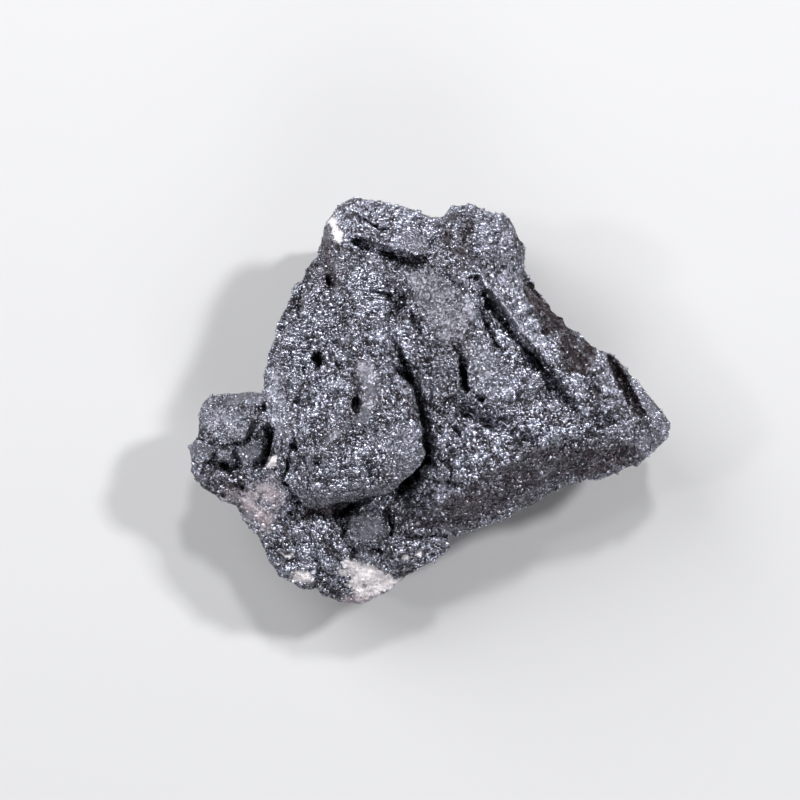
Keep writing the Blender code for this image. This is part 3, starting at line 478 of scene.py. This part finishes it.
def along_line(flat, start, end):
    """Distance of each place from a straight stretch."""
    start, along = np.array(start), np.array(end) - start
    share = np.clip((flat - start) @ along / max(along @ along, 1e-9), 0, 1)
    return np.linalg.norm(flat - start - share[:, None] * along, axis=1)


def wandering(points, far, seed):
    """Each point's x and y in millimetres, shifted about this far by two layers of noise, so that no
    drawn edge runs straight."""
    broad = np.stack([smooth_noise(points, 0.9 * MM, seed + k) for k in range(2)], axis=1)
    fine = np.stack([smooth_noise(points, 0.35 * MM, seed + 5 + k) for k in range(2)], axis=1)
    return points[:, :2] / MM + far * (broad + 0.45 * fine)


def top_share(points, low=TOP_FROM):
    """1 on the top side, fading to 0 down to this level of the sides."""
    return np.clip((points[:, 2] / MM - low) / FADE, 0, 1)


def upward(normals):
    """1 where the skin leans less than 70 degrees, fading to 0 where it is upright or hangs over."""
    return np.clip(normals[:, 2] * 3, 0, 1)


def area_strength(points, areas, seed, edge=0.35, low=TOP_FROM):
    """How strongly these areas hold at each point, from 0 to 1. Their edges wander and are this wide."""
    flat = wandering(points, 0.4, seed)
    strength = np.zeros(len(points))
    for strips in areas.values():
        for x0, y0, x1, y1, half, most in strips:
            away = along_line(flat, (x0, y0), (x1, y1))
            strength = np.maximum(strength, most * np.clip((half - away) / edge + 0.5, 0, 1))
    return strength * top_share(points, low)


def crease_depth(points):
    """Depth of the creases at each point: full up to 0.3 half widths from the line, none from 1.3 on, by
    a smooth step. A crease of more than two points is about a sixth as deep at its ends, and full again
    1.2 mm on."""
    flat = wandering(points, 0.16, SEED["creases"])
    depth = np.zeros(len(points))
    for creases in CREASES.values():
        for half, deep, path in creases:
            share = np.zeros(len(points))
            for start, end in zip(path, path[1:]):
                share = np.maximum(share, np.clip(1.3 - along_line(flat, start, end) / half, 0, 1))
            if len(path) > 2:
                for tip in (path[0], path[-1]):
                    share *= np.clip(0.25 + np.linalg.norm(flat - tip, axis=1) / 1.6, 0, 1)
            depth = np.maximum(depth, deep * share * share * (3 - 2 * share))
    return depth * top_share(points)


def grain_height(points):
    """Height of the round grains: a half ball on each place."""
    flat = points[:, :2] / MM
    height = np.zeros(len(points))
    for x, y, radius in GRAINS:
        away = np.linalg.norm(flat - (x, y), axis=1)
        height = np.maximum(height, np.sqrt(np.clip(radius**2 - away**2, 0, None)))
    return height * top_share(points)


def matrix_strength(points, normals):
    """White and pink matrix: the areas of the top side, and patches on the broken underside up to 1.8 mm,
    which noise of 7 mm draws."""
    white = area_strength(points, WHITE_AREAS, SEED["white"], edge=0.12) * upward(normals)
    pink = area_strength(points, PINK_AREAS, SEED["pink"], edge=0.8)
    pink = pink * np.clip(0.9 + 0.8 * fractal(points, 0.7 * MM, SEED["pink breaks"]), 0, 1)
    under = np.clip(1.5 - points[:, 2] / (1.2 * MM), 0, 1) * np.clip(-normals[:, 2] * 1.5, 0, 1)
    patch = np.clip(fractal(points, 7 * MM, SEED["underside"]) * 3 - 0.2, 0, 1)
    return white, np.maximum(pink, under * patch * 0.8)


def broken_up(points, strength, base, noise, size, seed):
    """A film's strength times a base value plus noise of this size in millimetres, kept from 0 to 1."""
    return np.clip(strength * (base + noise * fractal(points, size * MM, seed)), 0, 1)


def brown_strength(points):
    """How strongly the brown film holds at each point."""
    brown = area_strength(points, BROWN_AREAS, SEED["brown"], edge=0.2, low=FILMS_FROM)
    return broken_up(points, brown, base=1.3, noise=0.7, size=0.6, seed=SEED["brown breaks"])


def tints(points, normals, look):
    """Colour of the mineral at each point, and how much of it is matrix. The clean colour is uneven by
    noise, darker in the areas of painted shade and darker tone, and lighter where it faces up in the areas
    of painted light and paler tone. One film after the other covers it, and it is half as light where a
    crease is 0.8 mm deep or more: painted shade in the creases."""
    brown = brown_strength(points)
    plum = area_strength(points, PLUM_AREAS, SEED["plum"], edge=1.4, low=FILMS_FROM)
    plum = broken_up(points, plum, base=0.9, noise=0.5, size=1.0, seed=SEED["plum breaks"])
    purple = area_strength(points, PURPLE_AREAS, SEED["purple"], edge=1.2)
    purple = broken_up(points, purple, base=0.8, noise=0.6, size=1.2, seed=SEED["purple breaks"])
    white, pink = matrix_strength(points, normals)
    shade = 1 + 0.2 * fractal(points, 2.2 * MM, SEED["shade"])
    # Painted shade and darker tone in these areas.
    shade -= 0.55 * area_strength(points, SHADE_AND_DARK_TONE_AREAS, SEED["dull"], edge=0.8)
    # Painted light and paler tone in these areas, only where the skin faces up.
    shade += 0.4 * area_strength(points, LIT_AND_PALE_AREAS, SEED["light"], edge=0.9) * upward(normals)
    colour = np.array(look.colour) * np.clip(shade, 0.25, 1.6)[:, None]
    for film, share in (
        (look.purple, purple), (look.plum, plum), (look.brown, brown), (look.pink, pink),
        (look.white, white),
    ):
        colour = colour * (1 - share[:, None]) + np.array(film) * share[:, None]
    # Painted shade in the creases.
    colour *= 1 - 0.5 * np.clip(crease_depth(points) / 0.8, 0, 1)[:, None]
    return np.column_stack([colour, np.ones(len(points))]), np.maximum(white, 0.7 * pink)


# Meshes.


def positions(mesh):
    """The mesh's points as rows of x, y and z."""
    found = np.empty(len(mesh.vertices) * 3)
    mesh.vertices.foreach_get("co", found)
    return found.reshape(-1, 3)


def vertex_normals(mesh):
    """The unit normal at each of the mesh's points."""
    found = np.empty(len(mesh.vertices) * 3)
    mesh.vertices.foreach_get("normal", found)
    return found.reshape(-1, 3)


def move_to(mesh, points):
    """Puts the mesh's points here, or at the nearest place in the CAD solid's box."""
    mesh.vertices.foreach_set("co", np.clip(points, LOW + INSET, HIGH - INSET).ravel())
    mesh.update()


def new_object(name, mesh, material):
    """An object of this mesh and material, linked to the scene."""
    obj = bpy.data.objects.new(name, mesh)
    bpy.context.scene.collection.objects.link(obj)
    mesh.materials.append(material)
    return obj


def set_attribute(mesh, name, kind, values):
    """Gives the mesh a new attribute: a number at each point, or a row of four for a colour."""
    attribute = mesh.attributes.new(name, kind, "POINT")
    field = "color" if kind == "FLOAT_COLOR" else "value"
    attribute.data.foreach_set(field, np.ascontiguousarray(values).ravel())


def read_attribute(mesh, name):
    """The attribute at each point: a number, or a row of four for a colour."""
    attribute = mesh.attributes[name]
    if attribute.data_type != "FLOAT_COLOR":
        found = np.empty(len(mesh.vertices))
        attribute.data.foreach_get("value", found)
        return found
    found = np.empty(len(mesh.vertices) * 4)
    attribute.data.foreach_get("color", found)
    return found.reshape(-1, 4)


def evaluated(mesh, prepare):
    """The mesh after the modifiers that prepare gives its object."""
    obj = bpy.data.objects.new("work", mesh)
    bpy.context.scene.collection.objects.link(obj)
    prepare(obj.modifiers)
    bpy.context.view_layer.update()
    made = bpy.data.meshes.new_from_object(obj.evaluated_get(bpy.context.evaluated_depsgraph_get()))
    bpy.data.objects.remove(obj)
    return made


def merged_copy(node):
    """The CAD solid's mesh with its doubled points merged."""
    merged = bmesh.new()
    merged.from_mesh(node.data)
    bmesh.ops.remove_doubles(merged, verts=merged.verts, dist=DOUBLED)
    mesh = bpy.data.meshes.new("merged")
    merged.to_mesh(mesh)
    merged.free()
    return mesh


def fine_skin(node, step):
    """The CAD solid's own surface, redrawn as even squares and eased a little."""

    def prepare(modifiers):
        redraw = modifiers.new("Redraw", "REMESH")
        redraw.mode = "VOXEL"
        redraw.voxel_size = step
        ease = modifiers.new("Ease", "SMOOTH")
        ease.factor = 0.5
        ease.iterations = 2

    return evaluated(merged_copy(node), prepare)


def thinned(mesh, triangles):
    """The mesh with this many triangles, fewest where it is flat."""

    def prepare(modifiers):
        thin = modifiers.new("Thin", "DECIMATE")
        thin.ratio = triangles / (2 * len(mesh.polygons))

    return evaluated(mesh, prepare)


# Materials.


def ranged(tree, value, low, high):
    """A value from 0 to 1, moved to the range from low to high."""
    node = tree.nodes.new("ShaderNodeMapRange")
    node.inputs["To Min"].default_value = low
    node.inputs["To Max"].default_value = high
    tree.links.new(value, node.inputs["Value"])
    return node.outputs["Result"]


def vector_step(tree, operation, first, socket, second):
    """A Vector Math node on two outputs. The second goes to the socket of this name or number."""
    node = tree.nodes.new("ShaderNodeVectorMath")
    node.operation = operation
    tree.links.new(first, node.inputs[0])
    tree.links.new(second, node.inputs[socket])
    return node.outputs["Vector"]


def mineral_group():
    """A node group that turns the tint and the shares of matrix, calm and gap into colour, metal, roughness
    and a normal that leans another way in each speck. In the gaps it paints shade with a darker colour.
    Specks are a sixth and grains about 0.4 of a millimetre wide."""
    name = "mineral_finish"
    if name in bpy.data.node_groups:
        return bpy.data.node_groups[name]
    tree = bpy.data.node_groups.new(name, "ShaderNodeTree")
    for way, sockets in (
        ("INPUT", {
            "Tint": "Color", "Matrix": "Float", "Calm": "Float", "Gap": "Float", "Gap shade": "Color",
        }),
        ("OUTPUT", {"Color": "Color", "Metallic": "Float", "Roughness": "Float", "Normal": "Vector"}),
    ):
        for title, kind in sockets.items():
            tree.interface.new_socket(title, in_out=way, socket_type="NodeSocket" + kind)
    nodes, links = tree.nodes, tree.links
    given, result = nodes.new("NodeGroupInput").outputs, nodes.new("NodeGroupOutput").inputs
    place = nodes.new("ShaderNodeTexCoord").outputs["Object"]
    speck = nodes.new("ShaderNodeTexVoronoi")
    speck.inputs["Scale"].default_value = 6000
    links.new(place, speck.inputs["Vector"])
    grain = nodes.new("ShaderNodeTexNoise")
    grain.inputs["Scale"].default_value = 2600
    grain.inputs["Detail"].default_value = 3
    links.new(place, grain.inputs["Vector"])

    # The tint gives way to a darker colour in the gaps: painted shade between the crystals. On a Mix node
    # of colours these are inputs 6 and 7 and output 2.
    gap_shade = nodes.new("ShaderNodeMix")
    gap_shade.data_type = "RGBA"
    links.new(given["Gap"], gap_shade.inputs["Factor"])
    links.new(given["Tint"], gap_shade.inputs[6])
    links.new(given["Gap shade"], gap_shade.inputs[7])
    lightness = ranged(tree, grain.outputs["Fac"], 0.72, 1.28)
    links.new(vector_step(tree, "SCALE", gap_shade.outputs[2], "Scale", lightness), result["Color"])

    # Hematite is metal and shines. Matrix is neither, and calm areas shine less.
    links.new(ranged(tree, given["Matrix"], 0.92, 0.0), result["Metallic"])
    dull = nodes.new("ShaderNodeMath")
    dull.operation = "MULTIPLY_ADD"
    dull.inputs[1].default_value = 0.4
    dull.use_clamp = True
    links.new(given["Calm"], dull.inputs[0])
    links.new(given["Matrix"], dull.inputs[2])
    links.new(ranged(tree, dull.outputs["Value"], 0.26, 0.85), result["Roughness"])

    # Each speck's random colour, less its middle, is how far its normal leans.
    middle = nodes.new("ShaderNodeVectorMath")
    middle.operation = "SUBTRACT"
    middle.inputs[1].default_value = (0.5, 0.5, 0.5)
    links.new(speck.outputs["Color"], middle.inputs[0])
    amount = ranged(tree, given["Calm"], 1.15, 0.3)
    lean = vector_step(tree, "SCALE", middle.outputs["Vector"], "Scale", amount)
    surface = nodes.new("ShaderNodeNewGeometry").outputs["Normal"]
    level = nodes.new("ShaderNodeVectorMath")
    level.operation = "NORMALIZE"
    links.new(vector_step(tree, "ADD", lean, 1, surface), level.inputs[0])
    links.new(level.outputs["Vector"], result["Normal"])
    return tree


def mineral_material(name, glitter):
    """The mineral's material: metal-grey where it is hematite, dull where it is matrix. With glitter, its
    normal leans another way in each speck."""
    if name in bpy.data.materials:
        return bpy.data.materials[name]
    material = bpy.data.materials.new(name)
    material.use_nodes = True
    nodes, links = material.node_tree.nodes, material.node_tree.links
    shader = nodes["Principled BSDF"]
    finish = nodes.new("ShaderNodeGroup")
    finish.node_tree = mineral_group()
    for attribute, socket in (("tint", "Tint"), ("matrix", "Matrix"), ("calm", "Calm"), ("gap", "Gap")):
        read = nodes.new("ShaderNodeAttribute")
        read.attribute_name = attribute
        links.new(read.outputs["Color" if attribute == "tint" else "Fac"], finish.inputs[socket])
    finish.inputs["Gap shade"].default_value = (*bpy.context.scene.specimen_skin.gap_shade, 1)
    links.new(finish.outputs["Color"], shader.inputs["Base Color"])
    links.new(finish.outputs["Metallic"], shader.inputs["Metallic"])
    links.new(finish.outputs["Roughness"], shader.inputs["Roughness"])
    if glitter:
        links.new(finish.outputs["Normal"], shader.inputs["Normal"])
    return material


# Pieces.


class SPECIMEN_OT_skin(bpy.types.Operator):
    """Builds the stone's skin from the CAD solid, with lumps, crystal faces, creases and round grains"""

    bl_idname = "specimen.skin"
    bl_label = "Build the skin"

    def execute(self, context):
        look = context.scene.specimen_skin
        mesh = fine_skin(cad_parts[NODE], look.step)
        points, normals = positions(mesh), vertex_normals(mesh)
        relief = self.relief(points, look)
        colour, matrix = tints(points, normals, look)
        smooth = area_strength(points, CALM_AREAS, SEED["calm"], edge=0.8) * upward(normals)
        smooth = np.maximum(smooth, 0.6 * matrix)
        calm = np.maximum(smooth, 0.75 * brown_strength(points))
        set_attribute(mesh, "tint", "FLOAT_COLOR", colour)
        set_attribute(mesh, "matrix", "FLOAT", matrix)
        set_attribute(mesh, "calm", "FLOAT", calm)
        # The gaps, off calm areas and matrix, are painted with shade.
        set_attribute(mesh, "gap", "FLOAT", self.gaps(relief) * (1 - calm) * (1 - matrix))
        move_to(mesh, self.raised(points, normals, relief, smooth, look))
        mesh = thinned(mesh, look.triangles)
        move_to(mesh, positions(mesh))
        skin = new_object("skin", mesh, mineral_material("hematite_skin", True))
        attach(skin, "root")
        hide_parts(NODE)
        return {"FINISHED"}

    def relief(self, points, look):
        """Height of the coarse and the fine crystals at each point. The coarse ones are a quarter as high
        outside their areas, and five eighths as high everywhere low on the stone."""
        in_area = area_strength(points, COARSE_AREAS, SEED["coarse"])
        share = 0.25 + 0.75 * np.where(points[:, 2] < EVEN_BELOW * MM, 0.5, in_area)
        coarse = crystal_relief(points, look.coarse_size, SEED["coarse crystals"]) * 0.6 * share
        return coarse + crystal_relief(points, look.fine_size, SEED["fine crystals"]) * 0.5

    def gaps(self, relief):
        """1 where the relief is among its lowest 12 hundredths, fading to 0 over the next 0.16 mm. The skin
        is painted with shade there.
        """
        return 1 - np.clip((relief - np.quantile(relief, 0.12)) / (0.16 * MM), 0, 1)

    def raised(self, points, normals, relief, smooth, look):
        """The points moved out along their normals by lumps, crystals and ridges, and down into the
        creases. Lumps and crystals are lower on smooth areas and steep sides, and everything near the
        resting face. All of it lies 0.14 mm lower, so that the stone keeps its size."""
        rise = fractal(points, 1.1 * MM, SEED["lumps"]) * look.lump_height + relief
        rise *= 1 - 0.85 * smooth
        rise *= 0.4 + 0.6 * np.clip(normals[:, 2] * 2.5, 0, 1)
        ridges = striae(points, 17, 0.5 * MM, SEED["striae"])
        rise += ridges * 0.2 * MM * area_strength(points, BROWN_AREAS, SEED["brown"])
        rise *= np.clip(points[:, 2] / (FLAT_TO * MM), 0.15, 1)
        moved = points + normals * (rise - 0.14 * MM)[:, None]
        moved[:, 2] += (grain_height(points) - crease_depth(points)) * MM * upward(normals)
        return moved


class SPECIMEN_OT_druse(bpy.types.Operator):
    """Builds the small crystals that cover the skin, in four pieces"""

    bl_idname = "specimen.druse"
    bl_label = "Build the small crystals"

    def execute(self, context):
        settings = context.scene.specimen_druse
        clean = np.array(context.scene.specimen_skin.colour)
        skin = bpy.data.objects["skin"].data
        values = {name: read_attribute(skin, name) for name in ("tint", "matrix", "calm", "gap")}
        pick = np.random.default_rng(settings.seed)
        centres, out, corners = self.scattered(skin, values, len(DRUSE_PIECES) * settings.count, pick)
        tint, matrix, calm = (values[name][corners].mean(axis=1) for name in ("tint", "matrix", "calm"))
        size = settings.size * pick.lognormal(0, 0.42, len(centres)) * (1 - 0.5 * calm)
        size *= 0.8 + 0.5 * area_strength(centres, COARSE_AREAS, SEED["coarse"])
        size = np.clip(size, 0.06 * MM, 0.5 * MM) * (0.42 + 0.58 * np.clip(out[:, 2] * 2, 0, 1))
        for k, name in enumerate(DRUSE_PIECES):
            part = slice(k * settings.count, (k + 1) * settings.count)
            mesh = self.crystals(name, centres[part], out[part], size[part], pick)
            self.paint(mesh, tint[part], matrix[part], clean, pick)
            self.unwrap(mesh)
            piece = new_object(name, mesh, mineral_material("hematite_crystals", False))
            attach(piece, "root")
        return {"FINISHED"}

    def chance(self, points, normals, values):
        """How likely a crystal is at each point of the skin: less on calm areas, matrix and gaps, low on
        the stone and where it hangs over, in crowds by noise, and none near the resting face."""
        likely = (1 - 0.85 * values["calm"]) * (1 - 0.95 * values["matrix"]) * (1 - 0.8 * values["gap"])
        likely *= np.clip(0.75 + 0.9 * fractal(points, 1.6 * MM, SEED["crowding"]), 0.12, 2)
        by_height = np.where(points[:, 2] > CROWDED_FROM * MM, 1.0, 0.6)
        likely *= by_height * np.clip(normals[:, 2] + 1.25, 0.15, 1)
        return likely * (points[:, 2] > CLEAR_TO * MM)

    def scattered(self, skin, values, total, pick):
        """Random places on the skin from left to right, with the normal and the corners of each one's
        triangle. A triangle is picked by its area times its corners' chance, and a place on it by random
        shares of two sides."""
        skin.calc_loop_triangles()
        corners = np.empty(len(skin.loop_triangles) * 3, np.int32)
        skin.loop_triangles.foreach_get("vertices", corners)
        corners = corners.reshape(-1, 3)
        points = positions(skin)
        chance = self.chance(points, vertex_normals(skin), values)
        a, b, c = (points[corners[:, k]] for k in range(3))
        across = np.cross(b - a, c - a)
        area = np.linalg.norm(across, axis=1)
        normals = across / (area[:, None] + 1e-20)
        weight = area * chance[corners].mean(axis=1)
        chosen = pick.choice(len(corners), total, p=weight / weight.sum())
        u, v = pick.random((2, total))
        flip = u + v > 1
        u[flip], v[flip] = 1 - u[flip], 1 - v[flip]
        a, b, c = a[chosen], b[chosen], c[chosen]
        centres = a + (b - a) * u[:, None] + (c - a) * v[:, None]
        order = np.argsort(centres[:, 0])
        return centres[order], normals[chosen][order], corners[chosen][order]

    def crystals(self, name, centres, out, size, pick):
        """One mesh of small octahedra, each a little more than half sunk in the skin, stretched and
        turned at random."""
        count = len(centres)
        broad, flat = pick.uniform(0.5, 1, count), pick.uniform(0.35, 0.85, count)
        stretch = size[:, None] * np.stack([np.ones(count), broad, flat], axis=1)
        spin = pick.normal(size=(count, 4))
        spin /= np.linalg.norm(spin, axis=1)[:, None]
        sunk = centres - out * (size * 0.15)[:, None]
        points = sunk[:, None] + rotated(ENDS[None] * stretch[:, None, :], spin[:, None])
        faces = (FACES[None] + len(ENDS) * np.arange(count)[:, None, None]).reshape(-1, 3)
        mesh = bpy.data.meshes.new(name)
        mesh.vertices.add(len(ENDS) * count)
        move_to(mesh, points.reshape(-1, 3))
        mesh.loops.add(len(faces) * 3)
        mesh.loops.foreach_set("vertex_index", faces.ravel().astype(np.int32))
        mesh.polygons.add(len(faces))
        mesh.polygons.foreach_set("loop_start", np.arange(0, len(faces) * 3, 3, dtype=np.int32))
        mesh.update(calc_edges=True)
        return mesh

    def paint(self, mesh, tint, matrix, clean, pick):
        """Gives each crystal the skin's tint under it, with its painted shade and light, made lighter or
        darker at random, and six tenths of its share of matrix. One in five off the matrix is bare of any
        film and of the painted shade and light."""
        bare = (pick.random(len(tint)) < 0.2) & (matrix < 0.3)
        tint = tint.copy()
        tint[bare, :3] = clean
        tint[:, :3] *= np.clip(pick.lognormal(-0.01, 0.5, len(tint)), 0.3, 2.3)[:, None]
        set_attribute(mesh, "tint", "FLOAT_COLOR", np.repeat(tint, len(ENDS), axis=0))
        set_attribute(mesh, "matrix", "FLOAT", np.repeat(matrix * 0.6, len(ENDS)))

    def unwrap(self, mesh):
        """Two triangles to each square of a grid that fills the picture, with a gap round each
        triangle."""
        count = len(mesh.polygons)
        side = math.ceil(math.sqrt(count / 2))
        square = np.arange(count) // 2
        first, second = [[0.1, 0.1], [0.8, 0.1], [0.1, 0.8]], [[0.9, 0.9], [0.2, 0.9], [0.9, 0.2]]
        corner = np.where((np.arange(count) % 2)[:, None, None], second, first)
        base = np.stack([square % side, square // side], axis=1)[:, None, :]
        layer = mesh.uv_layers.new(name="OFBake")
        layer.data.foreach_set("uv", ((base + corner) / side).ravel())


class SPECIMEN_OT_stage(bpy.types.Operator):
    """Sets up the pale floor, the soft lights and the camera"""

    bl_idname = "specimen.stage"
    bl_label = "Set the stage"

    def execute(self, context):
        settings = context.scene.specimen_stage
        self.floor(settings)
        for name, (place, width, share) in LIGHTS.items():
            self.light(name, place, width, settings.key * share)
        context.scene.view_settings.view_transform = "Standard"
        self.surround(settings)
        self.camera()
        return {"FINISHED"}

    def floor(self, settings):
        """A floor 3 m wide, a little under the stone so that the two don't share a plane."""
        bpy.ops.mesh.primitive_plane_add(size=3, location=(0, 0, -0.02 * MM))
        floor = bpy.context.object
        floor.name = "floor"
        material = bpy.data.materials.new("floor")
        material.use_nodes = True
        shader = material.node_tree.nodes["Principled BSDF"]
        shader.inputs["Base Color"].default_value = (*settings.floor, 1)
        shader.inputs["Roughness"].default_value = 0.9
        floor.data.materials.append(material)

    def light(self, name, place, width, power):
        """A square light that faces the middle of the stone."""
        data = bpy.data.lights.new(name, "AREA")
        data.size = width * MM
        data.energy = power
        lamp = bpy.data.objects.new(name, data)
        bpy.context.scene.collection.objects.link(lamp)
        lamp.location = Vector(place) * MM
        aim = Vector((0, 0, FOCUS_LEVEL * MM)) - lamp.location
        lamp.rotation_euler = aim.to_track_quat("-Z", "Y").to_euler()

    def surround(self, settings):
        """An even, faintly bluish surround."""
        world = bpy.data.worlds.new("surround")
        world.use_nodes = True
        back = world.node_tree.nodes["Background"]
        back.inputs["Color"].default_value = (0.93, 0.95, 1.0, 1)
        back.inputs["Strength"].default_value = settings.sky
        bpy.context.scene.world = world

    def camera(self):
        """Straight above the stone, as far as the 135 mm lens needs for the photograph's frame."""
        data = bpy.data.cameras.new("camera")
        data.lens = 135
        data.sensor_width = 36
        data.clip_start = 0.01
        camera = bpy.data.objects.new("camera", data)
        bpy.context.scene.collection.objects.link(camera)
        level = (FOCUS_LEVEL + CAMERA_DISTANCE) * MM
        camera.matrix_world = Matrix.Translation((-3.2 * MM, 0.3 * MM, level))
        bpy.context.scene.camera = camera


class SPECIMEN_PT_panel(bpy.types.Panel):
    """The specimen's sizes, colours and steps, in the 3D view's sidebar"""

    bl_idname = "SPECIMEN_PT_panel"
    bl_label = "Hematite specimen"
    bl_space_type = "VIEW_3D"
    bl_region_type = "UI"
    bl_category = "Specimen"

    def draw(self, context):
        for group, operator in (
            ("specimen_skin", "specimen.skin"), ("specimen_druse", "specimen.druse"),
            ("specimen_stage", "specimen.stage"),
        ):
            box = self.layout.box()
            settings = getattr(context.scene, group)
            for name in settings.bl_rna.properties.keys():
                if name not in ("rna_type", "name"):
                    box.prop(settings, name)
            box.operator(operator)


CLASSES = (
    SkinSettings, DruseSettings, StageSettings, SPECIMEN_OT_skin, SPECIMEN_OT_druse, SPECIMEN_OT_stage,
    SPECIMEN_PT_panel,
)


def register():
    for cls in CLASSES:
        bpy.utils.register_class(cls)
    bpy.types.Scene.specimen_skin = bpy.props.PointerProperty(type=SkinSettings)
    bpy.types.Scene.specimen_druse = bpy.props.PointerProperty(type=DruseSettings)
    bpy.types.Scene.specimen_stage = bpy.props.PointerProperty(type=StageSettings)


def unregister():
    del bpy.types.Scene.specimen_skin, bpy.types.Scene.specimen_druse, bpy.types.Scene.specimen_stage
    for cls in reversed(CLASSES):
        bpy.utils.unregister_class(cls)


def main():
    register()
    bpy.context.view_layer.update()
    bpy.ops.specimen.skin()
    bpy.ops.specimen.druse()
    bpy.ops.specimen.stage()


if __name__ == "__main__":
    main()
